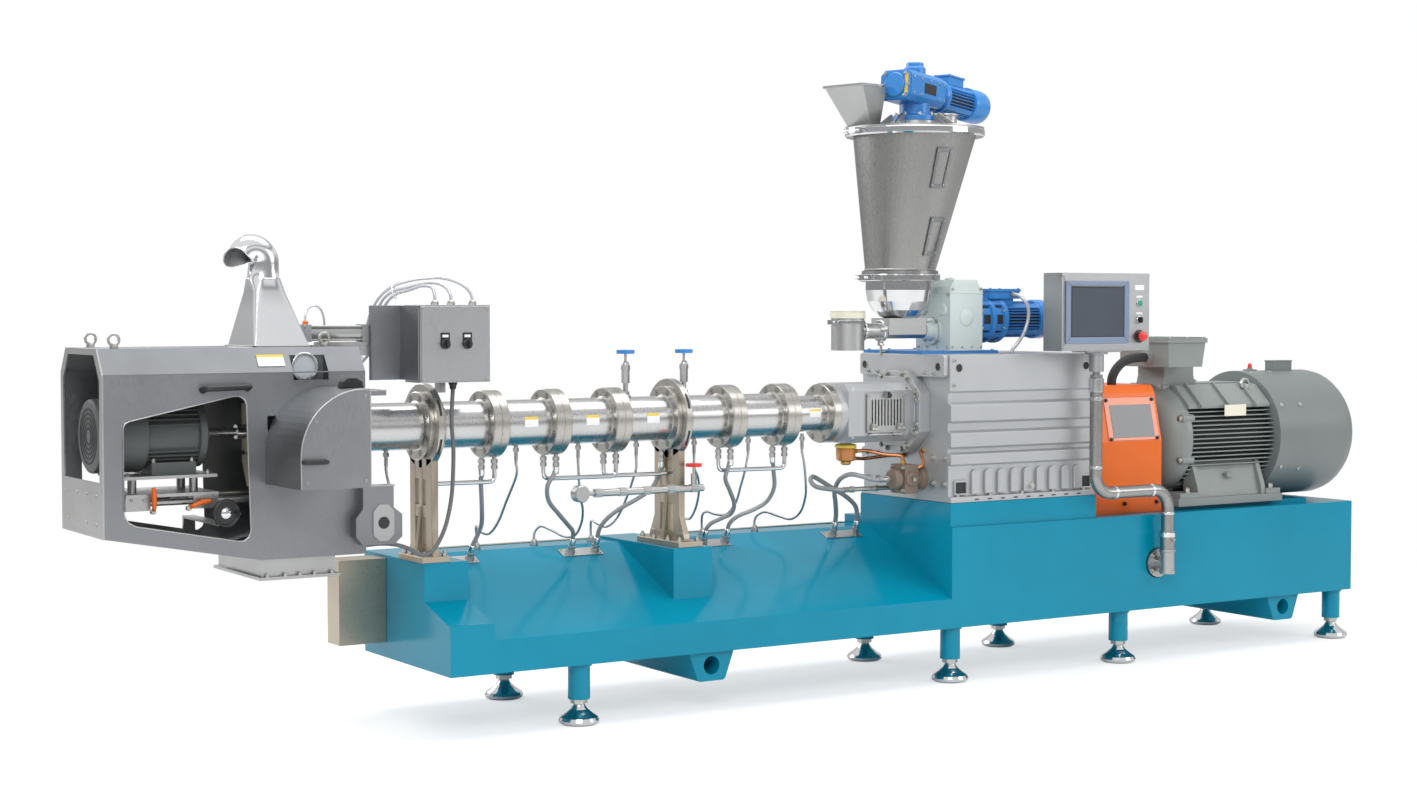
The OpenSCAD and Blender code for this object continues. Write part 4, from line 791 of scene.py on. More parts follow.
# Lantern bolts, its service window and the cover's latch
for y, z in circle(12, 103, 15):
    bolts.socket((JOINTS[7], y, AX + z), LEFT, 7, 7)
for x in (1785, 2040):
    for z in (AX - 92, AX + 92):
        bolts.socket((x, -104, z), (0, -1, 0.2 if z > AX else -0.2), 6, 6)
for x in (1848, 2020):
    for z in (AX - 66, AX + 68):
        bolts.socket((x, -121, z), FRONT, 4.5, 4)
bolts.done()
knob = Part("vent_door_latch", "black", body="vent_door", bevel=0.6)
knob.lathe((1936, -134, AX + 68), FRONT, [(5, 0), (8, 3), (9, 8), (7, 12), (3, 13)], 24)
knob.box(1930, 1942, -136, -133.5, AX + 58, AX + 82)
knob.done()
tog = Part("vent_door_toggles", "zinc", body="vent_door", bevel=0.5)
for x in (1872, 1996):
    tog.box(x - 12, x + 12, -130, -122, AX - 66, AX - 40)
    tog.cyl((x - 14, -130, AX - 60), (x + 14, -130, AX - 60), 5, 16)
    tog.sweep([(x - 8, -132, AX - 58), (x - 8, -136, AX - 46), (x + 8, -136, AX - 46),
               (x + 8, -132, AX - 58)], 2, 8)
tog.done()

# ---------------------------------------------------------------- oil pump and filter
PUMP_Y, PUMP_Z = -105, 778  # axis of the pump
LINE_Y, LINE_Z = -40, 740  # axis of the return pipe below it
FILTER_X, FILTER_Y = HX - 300, -20
pump = Part("oil_pump_body", "brown", bevel=1)
pump.lathe((HX - 150, PUMP_Y, PUMP_Z), RIGHT, [(26, 0), (36, 4), (40, 10), (40, 34), (34, 38), (34, 62),
                                               (42, 66), (42, 96), (36, 100), (36, 120), (46, 124),
                                               (46, 152)], 40)
pump.box(HX - 112, HX - 50, -152, -58, 722, 834)
pump.lathe((HX - 81, -160, PUMP_Z), BACK, [(24, 0), (28, 3), (28, 12)], 32)
pump.done("oil_pump")
steel = Part("oil_pump_fittings", "zinc", bevel=0.5)
steel.cyl((HX - 205, PUMP_Y, PUMP_Z), (HX - 186, PUMP_Y, PUMP_Z), 13, 6)
steel.cyl((HX - 188, PUMP_Y, PUMP_Z), (HX - 148, PUMP_Y, PUMP_Z), 11, 24)
steel.cyl((HX - 172, PUMP_Y, PUMP_Z), (HX - 160, PUMP_Y, PUMP_Z), 15, 6)
steel.cyl((HX - 325, LINE_Y, LINE_Z), (HX - 300, LINE_Y, LINE_Z), 12, 6)
steel.cyl((HX - 302, LINE_Y, LINE_Z), (HX - 50, LINE_Y, LINE_Z), 9, 24)
for x in (HX - 292, HX - 180, HX - 66):
    steel.cyl((x, LINE_Y, LINE_Z), (x + 16, LINE_Y, LINE_Z), 14, 6)
steel.box(HX - 60, HX + 2, -54, -26, 720, 760)
for y in (-142, -68):
    for z in (734, 822):
        steel.hexbolt((HX - 112, y, z), LEFT, 12, 7)
steel.cyl((HX - 81, -162, PUMP_Z), (HX - 81, -172, PUMP_Z), 9, 6)
steel.done()
brass = Part("oil_pipe_nuts", "brass", bevel=0.5)
copper = Part("copper_oil_pipes", "copper")
route = bend_path([(HX - 262, -20, 886), (HX - 200, -24, 886), (HX - 150, -60, 872), (HX - 88, -104, 866),
                   (HX - 88, -104, 836)], 26)
copper.sweep(route, 7)
copper.sweep(bend_path([(HX - 60, -130, 812), (HX - 20, -150, 830), (HX - 14, -120, 880),
                        (HX + 4, -112, 884)], 20), 6)
copper.sweep(bend_path([(HX - 260, -12, 858), (HX - 190, 10, 852), (HX - 80, 8, 860), (HX + 2, 6, 860)],
                       30), 7)
copper.done()
for p, d in (((HX - 266, -20, 886), RIGHT), ((HX - 88, -104, 848), DOWN),
             ((HX - 62, -128, 810), (0.6, -0.4, 0.5)),
             ((HX - 6, -114, 883), RIGHT), ((HX - 266, -12, 858), RIGHT), ((HX - 10, 6, 860), RIGHT)):
    v = Vector(p)
    brass.cyl(v, v + Vector(d).normalized() * 16, 11, 6)
brass.lathe((FILTER_X, FILTER_Y, 834), UP, [(14, 0), (20, 4), (20, 12), (12, 14)], 24)
brass.done()
(
    Part("oil_filter_bowl", "amber", bevel=1)
    .lathe((FILTER_X, FILTER_Y, 848), UP, [(28, 0), (36, 5), (38, 12), (38, 48), (34, 52)], 40)
    .done()
)
(
    Part("oil_filter_cap", "yellow_plate", bevel=1)
    .lathe((FILTER_X, FILTER_Y, 899), UP, [(38, 0), (42, 3), (42, 12), (36, 16), (14, 19)], 40)
    .done()
)

# ---------------------------------------------------------------- coupling guard
GX0, GX1 = HX + 747, HX + 1160  # ends of the guard
FACE_Y, FACE_Z = 0.9746, 0.2238  # how its slanted face looks out and up


def on_slope(z, out):
    """Point of the slanted face of the guard at height z, moved out of it."""
    t = (z - 892) / 196
    return (-222 + 45 * t - out * FACE_Y, z + out * FACE_Z)


def slab(p, x0, x1, z0, z1, lo, hi):
    """Flat sheet lying on the slanted face, from lo to hi out of it."""
    p.prism([on_slope(z0, hi), on_slope(z0, lo), on_slope(z1, lo), on_slope(z1, hi)], "x", x0, x1)


WINDOW = (2986, 3262, 897, 1070)  # left, right, foot and top of the sheet round the window
PANE = (3012, 3238, 908, 1040)
frame_sheet = Part("guard_window_sheet", "clear", bevel=0.6)
slab(frame_sheet, *WINDOW, 0.2, 3.2)
frame_sheet.done()
pane = Part("guard_window_pane", "glass", bevel=0.8)
slab(pane, *PANE, 3.0, 4.4)
pane.done()
(
    Part("guard_skirt", "orange_dark", bevel=0.8)
    .box(GX0 + 2, GX1 - 2, -225, -221.6, 600, 700)
    .box(GX0 + 2, GX1 - 2, 221.6, 225, 600, 700)
    .done()
)
gb = Part("guard_bolts", "black_metal", bevel=0.3)
for x in (2998, 3250):
    for z in (903, 1060):
        y, zz = on_slope(z, 3)
        gb.hexbolt((x, y, zz), (0, -FACE_Y, FACE_Z), 12, 6)
for s in (-1, 1):
    for x in (GX0 + 30, GX0 + 205, GX1 - 30):
        gb.hexbolt((x, s * 225, 640), (0, s, 0), 14, 8)
gb.done()

# ---------------------------------------------------------------- main motor
MX0, MX1, MX2 = HX + 1285, HX + 1803, HX + 2285  # front of the motor, start and end of its cowl
LAMP_X = 4012
RIB_R, RIB_FOOT = 236, 190  # radii of the outside and the foot of the ribs
body = Part("motor_body", "motor", bevel=1.2)
core = Part("motor_core", "motor_dark")
core.cyl((GX0 + 20, 0, MZ), (MX0 - 70, 0, MZ), 58)
core.cyl((MX0 + 30, 0, MZ), (MX1, 0, MZ), 196, 64)
for s in (-1, 1):
    z = MZ - 166
    while z < MZ + 130:
        tip = sqrt(max(0, RIB_R ** 2 - (z - MZ) ** 2))
        root = sqrt(max(0, RIB_FOOT ** 2 - (z - MZ) ** 2))
        body.box(MX0 + 44, MX1 + 2, *sorted((s * root, s * tip)), z - 2.6, z + 2.6)
        z += 18.5
    body.prism([(s * 150, 1016), (s * 214, 1016), (s * 214, 1030), (s * 128, 1112), (s * 60, 1112)][::s],
               "x", MX0 + 36, MX1 - 4)
    for x in (MX0 + 90, MX0 + 250, MX0 + 410):
        body.prism([(s * 205, 1018), (s * 236, 1020), (s * 236, 1030), (s * 134, 1124),
                    (s * 120, 1112)][::s], "x", x, x + 10)
for k in range(15):
    y = -126 + k * 18
    low = MZ - sqrt(RIB_R ** 2 - y * y)
    body.box(MX0 + 44, MX1 - 6, y - 2.4, y + 2.4, low, MZ - 180)
body.box(MX0 + 40, MX1 - 4, -70, 70, 1080, 1118)
core.done()
shield = [(58, -96), (74, -94), (78, -84), (112, -80), (120, -62), (168, -52), (196, -34), (224, -10),
          (236, 14), (236, 40), (222, 44), (190, 46)]
body.lathe((MX0 + 2, 0, MZ), RIGHT, shield, 72)
for y, z in circle(8, 1, 22.5):
    body.cyl((MX0 - 6, 228 * y, MZ + 228 * z), (MX0 + 60, 228 * y, MZ + 228 * z), 17, 24, 2)
    body.cyl((MX0 - 46, 108 * y, MZ + 108 * z), (MX0 - 10, 208 * y, MZ + 208 * z), 7, 12)
# Feet and legs
for s in (-1, 1):
    y0, y1 = sorted((s * 250, s * 128))
    body.box(MX0 - 51, MX0 + 555, y0, y1, 614, 646)
    leg = [(s * 240, 646), (s * 150, 646), (s * 150, 800), (s * 196, 790), (s * 234, 690)][::-s]
    for x in (MX0 + 70, MX0 + 440):
        body.prism(leg, "x", x, x + 24)
    body.prism([(s * 226, 646), (s * 208, 646), (s * 166, 792), (s * 184, 798)][::-s], "x", MX0 + 84,
               MX0 + 450)
    for x0, x1 in ((MX0 - 40, MX0 + 72), (MX0 + 462, MX0 + 546)):
        body.box(x0, x1, *sorted((s * 246, s * 132)), 646, 668)
    body.box(MX0 + 250, MX0 + 290, *sorted((s * 206, s * 224)), 724, 744)
# Pedestal and terminal box
BOXZ = MZ + 302  # top of the pedestal
body.prism([(MX0 - 6, 1100), (MX0 + 196, 1100), (MX0 + 177, 1150), (MX0 + 177, BOXZ), (MX0 + 8, BOXZ),
            (MX0 + 8, 1150)], "y", -96, 62)
body.prism([(MX0 - 97, BOXZ), (MX0 + 93, BOXZ), (MX0 + 112, BOXZ + 100), (MX0 - 99, BOXZ + 100)], "y", -231,
           58)
body.box(MX0 - 106, MX0 + 118, -237, 64, BOXZ + 100, BOXZ + 120)
body.box(MX0 - 90, MX0 + 102, -222, 50, BOXZ + 120, BOXZ + 124)
body.lathe((MX0 - 96, -110, BOXZ + 40), LEFT, [(34, 0), (34, 6), (27, 8), (27, 16), (22, 19)], 32)
body.done("main_motor")
cowl = Part("motor_cowl_details", "cowl", bevel=1)
cowl.box(4118, 4236, -34, 12, 1150, 1203)
cowl.box(4116, 4238, -36, 14, 1200, 1206)
for k in range(9):
    cowl.ring((MX2 - 1, 0, MZ), RIGHT, 56 + k * 20, 46 + k * 20, 5, 72)
for k in range(8):
    cowl.box(-3, 1.5, -222, 222, -3, 3, turned((MX2 + 2, 0, MZ), 22.5 * k))
cowl.cyl((MX2 - 2, 0, MZ), (MX2 + 4, 0, MZ), 44, 40, 2)
cowl.done()
# Dark disc behind the grille rings: painted shade inside the cowl
Part("motor_cowl_back_shade", "shade_and_seam_dark").cyl((MX2 - 0.6, 0, MZ), (MX2 + 0.4, 0, MZ), 226, 64).done()
trim = Part("motor_fasteners", "zinc", bevel=0.4)
for y, z in circle(8, 228, 22.5):
    trim.hexbolt((MX0 - 6, y, MZ + z), LEFT, 19, 11)
for x, a in ((MX1 + 36, 29), (MX1 + 36, -29), (MX1 + 150, -32), (MX1 + 150, 29), (MX1 + 36, 76),
             (MX1 + 150, 76)):
    y, z = polar(1, a)
    for s in (-1, 1):
        trim.cyl((x, s * 271 * y, MZ + 271 * z), (x, s * 277 * y, MZ + 277 * z), 9, 24, 1)
for x in (MX0 - 92, MX0 + 6, MX0 + 104):
    for y in (-230, 57):
        trim.socket((x, y, BOXZ + 120), UP, 6, 5)
for x in (MX0 + 20, MX0 + 505):
    for s in (-1, 1):
        trim.hexbolt((x, s * 222, 668), UP, 26, 16)
trim.ring((MX0 + 424, -158, 1113), BACK, 26, 16, 12, 40, 2)
trim.cyl((MX0 + 424, -150, 1082), (MX0 + 424, -152, 1098), 11, 24)
trim.done()
Part("motor_blank_plate", "plate", bevel=0.4).box(MX0 + 219, MX0 + 343, -240, -236, 983, 1030).done()
(
    Part("motor_lamp", "red", bevel=0.8)
    .lathe((LAMP_X, 0, 1174), UP, [(9, 0), (9, 10), (7, 18), (3, 21)], 24)
    .done()
)
socket = Part("motor_lamp_socket", "motor", bevel=0.8)
socket.box(LAMP_X - 22, LAMP_X + 24, -20, 20, 1150, 1168)
socket.cyl((LAMP_X, 0, 1166), (LAMP_X, 0, 1175), 12, 24)
socket.done()

# ---------------------------------------------------------------- base trim and the trunk beside it
(
    Part("deck_edge_strip", "beige", bevel=0.6)
    .box(100, 930, 372, 398, DECK, DECK + 3)
    .box(1140, 2100, 372, 398, DECK, DECK + 3)
    .done()
)
(
    Part("cable_trunk", "beige", bevel=1.2)
    .box(-177, -1, 213, 215.2, 268, 562)
    .box(-177, -1, 316, 318, 268, 562)
    .box(-177, -175, 213, 318, 268, 562)
    .box(-177, -1, 213, 318, 266, 270)
    .box(-179, -1, 211, 320, 556, 564)
    .done()
)
collars = Part("foot_collars", "teal", bevel=1)
nuts = Part("foot_nuts", "zinc", bevel=0.6)
for x, y in FEET:
    collars.ring((x, y, BZ - 10), UP, 45, 38, 10, 40, 1.5)
    nuts.cyl((x, y, 72), (x, y, 88), 30, 6)
collars.done()
nuts.done()

# ---------------------------------------------------------------- feeder: spout, tube, gearbox and motor
TZ, SX = 1348.0, HX - 277  # height of the feeding tube, its spout
FX, RX = HX - 26, HX + 44  # hopper axis at its foot and at its rim
RIM_Z, LID_Z = 2104, 2140
(
    Part("spout_cap", "plate", bevel=1.2)
    .lathe((SX, 0, 1396), UP, [(64, 0), (68, 2), (68, 24), (64, 29), (30, 31)], 64)
    .done()
)
(
    Part("feeder_clamps", "polished", bevel=0.5)
    .ring((SX, 0, 1376), UP, 68, 63, 14, 64, 1)
    .box(SX - 84, SX - 62, -18, 18, 1374, 1392)
    .cyl((SX - 76, -26, 1383), (SX - 76, 30, 1383), 4, 16)
    .ring((2003, 0, TZ), LEFT, 44, 29, 16, 48, 3)
    .box(1987, 2003, -8, 8, TZ - 58, TZ - 40)
    .cyl((1995, -20, TZ - 52), (1995, 20, TZ - 52), 4, 16)
    .ring((SX + 62, 0, TZ), RIGHT, 40, 29, 10, 48, 2)
    .ring((FX, 0, 1540), UP, 157, 150, 30, 96, 5)
    .box(FX - 186, FX - 150, -16, 16, 1544, 1566)
    .cyl((FX - 174, -30, 1555), (FX - 174, 40, 1555), 5, 16)
    .cyl((FX - 174, 34, 1555), (FX - 174, 52, 1555), 10, 20, 1.5)
    .ring((RX, 0, RIM_Z), UP, 273, 266, 32, 120, 6)
    .box(RX - 304, RX - 264, -20, 20, RIM_Z + 4, RIM_Z + 28)
    .cyl((RX - 292, -36, RIM_Z + 16), (RX - 292, 44, RIM_Z + 16), 5.5, 16)
    .cyl((RX - 292, 40, RIM_Z + 16), (RX - 292, 62, RIM_Z + 16), 11, 20, 1.5)
    .done()
)
(
    Part("feeder_bearing", "pale_green", bevel=0.6)
    .lathe((HX + 84, 0, TZ), RIGHT, [(24, 0), (34, 2), (37, 10), (40, 40), (54, 44), (55, 55)], 48)
    .done()
)

screws = Part("feeder_screws", "zinc", bevel=0.3)
for y in (-38, 38):
    for z in (TZ - 37.6, TZ + 37.6):
        screws.hexbolt((HX + 128, y, z), LEFT, 11, 6)
for x in (HX + 20, HX + 120, HX + 250, HX + 365):
    for y in (-92, 262):
        screws.socket((x, y, 1270), UP, 6, 5)
screws.cyl((HX + 2, 130, 1262), (HX - 24, 130, 1262), 5, 16)
screws.cyl((HX - 20, 130, 1246), (HX - 20, 130, 1296), 5, 16)
for x in (HX + 150, HX + 198, HX + 246, HX + 292):
    screws.socket((x, -108, 1284), FRONT, 4.5, 4)
    screws.socket((x, 110, 1284), BACK, 4.5, 4)
for y in (-90, -30, 40, 92):
    screws.socket((HX + 139, y, 1284), LEFT, 4.5, 4)
for y in (-96, 98):
    screws.hexbolt((HX + 139, y, 1490), LEFT, 10, 5)
for x in (HX + 150, HX + 290):
    screws.hexbolt((x, -108, 1512), FRONT, 10, 5)
screws.done()
boss = Part("feeder_bosses", "pale_green", bevel=0.8)
for y in (-62, 62):
    boss.lathe((HX + 140, y, 1432), LEFT, [(24, 0), (24, 6), (20, 9)], 36)
boss.box(HX + 137, HX + 303, -110, 112, 1494, 1498)
boss.box(HX + 139.4, HX + 141, -70, 70, 1300, 1304)
boss.lathe((HX + 222, 0, 1548), UP, [(20, 0), (20, 5), (14, 9)], 32)
boss.lathe((HX + 220, -107, 1400), FRONT, [(34, 0), (34, 4), (28, 8), (12, 9)], 40)
boss.done()

FM = 1392.0  # height of the feeder motor axis
fm = Part("feeder_motor_body", "sky", bevel=0.9)
fm.lathe((HX + 301, 0, FM), RIGHT, [(60, 0), (94, 0), (95, 2), (95, 15), (88, 18), (88, 26), (83, 28),
                                    (83, 66), (94, 70), (95, 74), (95, 88), (85, 92), (84, 128), (94, 131),
                                    (95, 134), (95, 149), (90, 152), (66, 154)], 72)
for k in range(36):
    fm.box(HX + 452, HX + 640, -1.7, 1.7, 62, 73, turned((0, 0, FM), 10 * k))
for a in (45, 135, 225, 315):
    m = turned((0, 0, FM), a)
    fm.box(HX + 452, HX + 640, -11, 11, 60, 76, m)
    fm.box(HX + 320, HX + 440, -10, 10, 80, 93, m)
fm.lathe((HX + 632, 0, FM), RIGHT, [(60, 0), (76, 1), (77, 4), (77, 12), (70, 14)], 60)
fm.lathe((HX + 642, 0, FM), RIGHT, [(70, 0), (79, 2), (79, 44), (76, 54), (68, 58), (40, 59), (40, 57)], 60)
fm.box(HX + 400, HX + 508, -50, 50, FM + 56, FM + 82)
fm.box(HX + 378, HX + 530, -62, 62, FM + 82, FM + 108)
fm.box(HX + 374, HX + 534, -65, 65, FM + 110, FM + 122)
fm.done("feeder_motor")
# Dark core between the fins, dark strips under the covers and dark rings on the fan end: painted shade in the
# gaps
dk = Part("feeder_motor_gap_shade", "shade_and_seam_dark")
dk.cyl((HX + 452, 0, FM), (HX + 640, 0, FM), 63, 48)
dk.box(HX + 379, HX + 529, -61.5, 61.5, FM + 107, FM + 111)
for a in range(0, 360, 45):
    m = turned((0, 0, FM), a)
    dk.box(HX + 332, HX + 364, -18, 18, 80, 84.2, m)
    dk.box(HX + 396, HX + 426, -18, 18, 80, 85.2, m)
for k in range(5):
    dk.ring((HX + 700.4, 0, FM), RIGHT, 16 + k * 11, 10 + k * 11, 1.0, 48)
dk.done()
fs = Part("feeder_motor_screws", "zinc", bevel=0.3)
for x in (HX + 382, HX + 526):
    for y in (-58, 58):
        fs.socket((x, y, FM + 122), UP, 4.5, 4)
for y, z in circle(8, 90, 22.5):
    fs.hexbolt((HX + 318, y, FM + z), RIGHT, 9, 5, False)
    fs.hexbolt((HX + 434, y, FM + z), LEFT, 9, 5, False)
fs.cyl((HX + 491, -61, 1492), (HX + 491, -72, 1492), 13, 6)
fs.done()

# ---------------------------------------------------------------- hopper


def cone(a, z, out):
    """Point of the leaning hopper cone at an angle and height."""
    t = (z - 1570) / 540
    x, y = polar(135 + 107.5 * t + out, a)
    return (FX + 70 * t + x, y, z)


def patch(p, a0, a1, z0, z1, lo, hi, n=8):
    """Curved slab lying on the hopper."""
    ang = [a0 + (a1 - a0) * i / n for i in range(n + 1)]
    V = [cone(a, z, o) for o in (lo, hi) for z in (z0, z1) for a in ang]
    k = n + 1
    F = []
    for i in range(n):
        F += [(i, k + i, k + i + 1, i + 1), (2 * k + i, 2 * k + i + 1, 3 * k + i + 1, 3 * k + i),
              (i, i + 1, 2 * k + i + 1, 2 * k + i), (k + i, 3 * k + i, 3 * k + i + 1, k + i + 1)]
    F += [(0, 2 * k, 3 * k, k), (n, k + n, 3 * k + n, 2 * k + n)]
    p.add(V, F)


fr = Part("hopper_window_frames", "sheet", bevel=0.8)
gl = Part("hopper_window_panes", "steel_z", bevel=0.3)
sc = Part("hopper_window_screws", "zinc", bevel=0.3)
for a0, a1, z0, z1 in ((-104, -87, 1896, 2050), (-95, -71, 1638, 1786)):
    w = (a1 - a0) * 0.17
    patch(fr, a0, a0 + w, z0, z1, -0.5, 7)
    patch(fr, a1 - w, a1, z0, z1, -0.5, 7)
    patch(fr, a0 + w, a1 - w, z0, z0 + 16, -0.5, 7)
    patch(fr, a0 + w, a1 - w, z1 - 16, z1, -0.5, 7)
    patch(gl, a0 + w, a1 - w, z0 + 16, z1 - 16, -0.5, 3)
    for z in (z0 + 12, (z0 + z1) / 2, z1 - 12):
        for a in (a0 + w / 2, a1 - w / 2):
            sc.socket(cone(a, z, 6.5), (*polar(1, a), -0.2), 5, 5)
fr.done()
gl.done()
sc.done()
seam = Part("hopper_weld_seam", "satin")
patch(seam, 118, 119.5, 1586, 2106, -0.4, 0.9, 2)
seam.lathe((FX, 0, 1582), UP, [(136, 0), (139.5, 2), (140, 5), (138, 8)], 96)
seam.done()

# Folded rim of the funnel, rings on the lid, brackets round the stool
T = turned((1981, 60, LID_Z), 12, "Z")
rim = Part("funnel_rim", "polished", bevel=0.6)
for x0, x1, y0, y1 in ((-154, -6, -104, -99), (-154, -6, 99, 104), (-154, -149, -99, 99), (-11, -6, -99, 99)):
    rim.box(x0, x1, y0, y1, 147, 157, T)
rim.box(-64, 4, -68, 68, -1, 3, T)
rim.done()
(
    Part("lid_flanges", "satin", bevel=0.8)
    .ring((RX + 105, -70, 2186), UP, 44, 33, 9, 48, 1.5)
    .ring((RX + 105, -70, LID_Z), UP, 47, 37, 6, 48, 1.5)
    .ring((RX, 0, LID_Z), UP, 99, 90, 7, 64, 1.5)
    .done()
)
fold = Part("lid_brackets", "satin", bevel=0.8)
lid_screws = Part("lid_screws", "zinc", bevel=0.3)
for a in (-62, 28, 118, 208):
    m = turned((RX, 0, LID_Z), a, "Z")
    fold.prism([(96, 0), (176, 0), (176, 9), (104, 58), (96, 58)], "y", -3, 3, m)
    fold.box(150, 182, -16, 16, 0, 4, m)
    for y in (-10, 10):
        lid_screws.hexbolt(m @ Vector((168, y, 4)), UP, 10, 6)
for x, y in circle(8, 76, 22.5):
    lid_screws.hexbolt((RX + x, y, 2188), UP, 12, 7)
fold.done()
lid_screws.done()

# Agitator gear unit: turned 18 degrees, leaning 5 degrees
G = turned((RX, 0, 2289), 18, "Z") @ turned((0, 0, 0), 5, "Y")
GD = G.to_3x3()
AXL = GD @ Vector(RIGHT)
ag = Part("agitator_gear_unit", "sky", bevel=2.2)
ag.lathe((RX, 0, 2166), UP, [(84, 0), (86, 2), (86, 20), (84, 22), (66, 22), (60, 30), (60, 92), (56, 96)],
         64)
ag.lathe((RX, 0, 2320), UP, [(48, 0), (48, 20), (42, 26), (42, 54), (37, 58), (34, 60), (34, 72), (30, 76),
                             (18, 77)], 56)
ch = 20
prof = [(-74 + ch, -59), (74 - ch, -59), (74, -59 + ch), (74, 59 - ch), (74 - ch, 59), (-74 + ch, 59),
        (-74, 59 - ch), (-74, -59 + ch)]
ag.prism(prof, "x", -128, 104, G)
ag.prism([(y * 0.93, z * 0.93) for y, z in prof], "x", -134, -128, G)
ag.lathe(G @ Vector((-134, 0, 0)), -AXL, [(48, 0), (48, 7), (44, 11), (20, 12)], 48)
ag.lathe(G @ Vector((104, 0, 0)), AXL, [(62, 0), (66, 3), (66, 14), (56, 18), (52, 40), (62, 44), (67, 48),
                                        (67, 60), (60, 64), (54, 66)], 56)
for k in range(28):
    ag.box(170, 352, -1.6, 1.6, 48, 59, G @ turned((0, 0, 0), 360 * k / 28))
for a in (45, 135, 225, 315):
    ag.box(170, 352, -10, 10, 47, 61.5, G @ turned((0, 0, 0), a))
ag.lathe(G @ Vector((346, 0, 0)), AXL, [(54, 0), (66, 2), (68, 6), (68, 88), (66, 102), (60, 112),
                                        (48, 118), (20, 120)], 56)
ag.box(186, 290, -34, 34, 52, 84, G)
ag.box(182, 294, -38, 38, 84, 92, G)
ag.done("agitator_drive")
# Dark core between the fins: painted shade
(
    Part("agitator_motor_gap_shade", "shade_and_seam_dark")
    .cyl(G @ Vector((168, 0, 0)), G @ Vector((352, 0, 0)), 49, 40)
    .done()
)
asr = Part("agitator_screws", "zinc", bevel=0.3)
for y, z in ((-50, -46), (50, -46), (-50, 46), (50, 46), (-66, 0), (66, 0)):
    asr.hexbolt(G @ Vector((-134, y * 0.93, z * 0.93)), -AXL, 11, 6)
for x in (-112, -60, 0, 60, 96):
    for z in (-46, 46):
        if abs(x) > 1 or z > 0:
            asr.socket(G @ Vector((x, -74, z * 0.66)), GD @ Vector(FRONT), 4.5, 4)
for x in (186, 290):
    for y in (-33, 33):
        asr.socket(G @ Vector((x, y, 92)), GD @ Vector(UP), 4, 3.5)
asr.done()
Part("agitator_blank_strip", "yellow_plate", bevel=0.3).box(-135.4, -134, -60, -44, -34, 40, G).done()
Part("agitator_blank_plate", "black_metal", bevel=0.3).box(-40, 40, -75.4, -74, -22, 18, G).done()

# ---------------------------------------------------------------- cutter enclosure
EL, ER = -1126.0, -262.0  # ends of the enclosure
Part("sight_pocket", "motor_dark", bevel=0.8).box(-511, -389, -172, -168, 1204, 1290).done()
skin = Part("enclosure_trim", "sheet", bevel=0.8)
for x0, x1 in ((-513, -510), (-390, -387)):
    skin.prism([(-217, 1205), (-168, 1205), (-168, 1290), (-176, 1290), (-217, 1233)], "x", x0, x1)
skin.box(-513, -387, -217, -168, 1204, 1207)
skin.box(EL, ER, -217, -214, 1231, 1235)
skin.done()
SIGHT = (-462, -172, 1250)
ring = Part("sight_window_ring", "polished", bevel=0.8)
ring.ring(SIGHT, FRONT, 46, 38, 24, 48, 2)
ring.done()
Part("sight_window_pane", "sight_pane").cyl((-462, -176, 1250), (-462, -188, 1250), 38, 40, 1).done()
es = Part("enclosure_screws", "zinc", bevel=0.3)
for x, z in circle(8, 42, 22.5):
    es.socket((SIGHT[0] + x, -196, SIGHT[2] + z), FRONT, 2.5, 2)
# Window edge fold, handle bar, eye bolts
win = [(-1066, 809), (-1066, 1069), (-1060, 1083), (-1046, 1090), (-714, 1160), (-692, 1160), (-676, 1151),
       (-668, 1133), (-657, 731), (-664, 711), (-680, 700), (-700, 700), (-1027, 763), (-1050, 775),
       (-1062, 791)]
lip = Part("window_fold", "satin", bevel=0.3)
loop = [Vector((x, -216.5, z)) for x, z in win]
lip.sweep(loop + [loop[0], loop[1]], 2.6, 8)
lip.done()
bar = Part("enclosure_handle", "black", bevel=0.5)
bar.sweep(bend_path([(-811, -216, 1186), (-811, -252, 1186), (-666, -252, 1190), (-666, -216, 1190)], 20),
          9, 18)
for x, z in ((-811, 1182), (-666, 1186)):
    bar.cyl((x, -216, z), (x, -221, z), 12, 28, 1)
bar.done()
for x, y in ((-1062, -120), (-1062, 120), (-360, -110)):
    es.cyl((x, y, ENC_TOP), (x, y, ENC_TOP + 12), 13, 24, 1)
    es.ring((x, y - 4, ENC_TOP + 27), BACK, 21, 13, 8, 32, 2)
for z in (770, 860):
    for y in (-150, -50, 50, 150):
        es.hexbolt((EL, y, z), LEFT, 12, 6)
for x in (-598, -560, -510, -460, -422):
    for y in (-117, 117):
        es.socket((x, y, ENC_TOP), UP, 5, 5)
for y in (-80, -30, 30, 80):
    for x in (-598, -422):
        es.socket((x, y, ENC_TOP), UP, 5, 5)
for x in (-276, -238, -200):
    for y in (-251, -227):
        es.socket((x, y, 857), UP, 5, 5)
for x in (-600, -540, -490, -440, -380):
    es.hexbolt((x, -208, 578), UP, 11, 6)
    es.hexbolt((x, 208, 578), UP, 11, 6)
for z in (1010, 1120, 1200, 940, 870):
    for y in (-186, 186):
        es.hexbolt((ER, y, z), RIGHT, 12, 6)
for y in (-140, -70, 70, 140):
    es.hexbolt((ER, y, 1285), RIGHT, 12, 6)
es.done()

# Exhaust duct: centre of the pipe, start of its round part, middle and radius of its bend, pipe radius
DUCT_X, DUCT_Z, BEND_Z, BEND_R, PIPE = -526.0, ENC_TOP + 222, ENC_TOP + 274, 42.0, 50.0


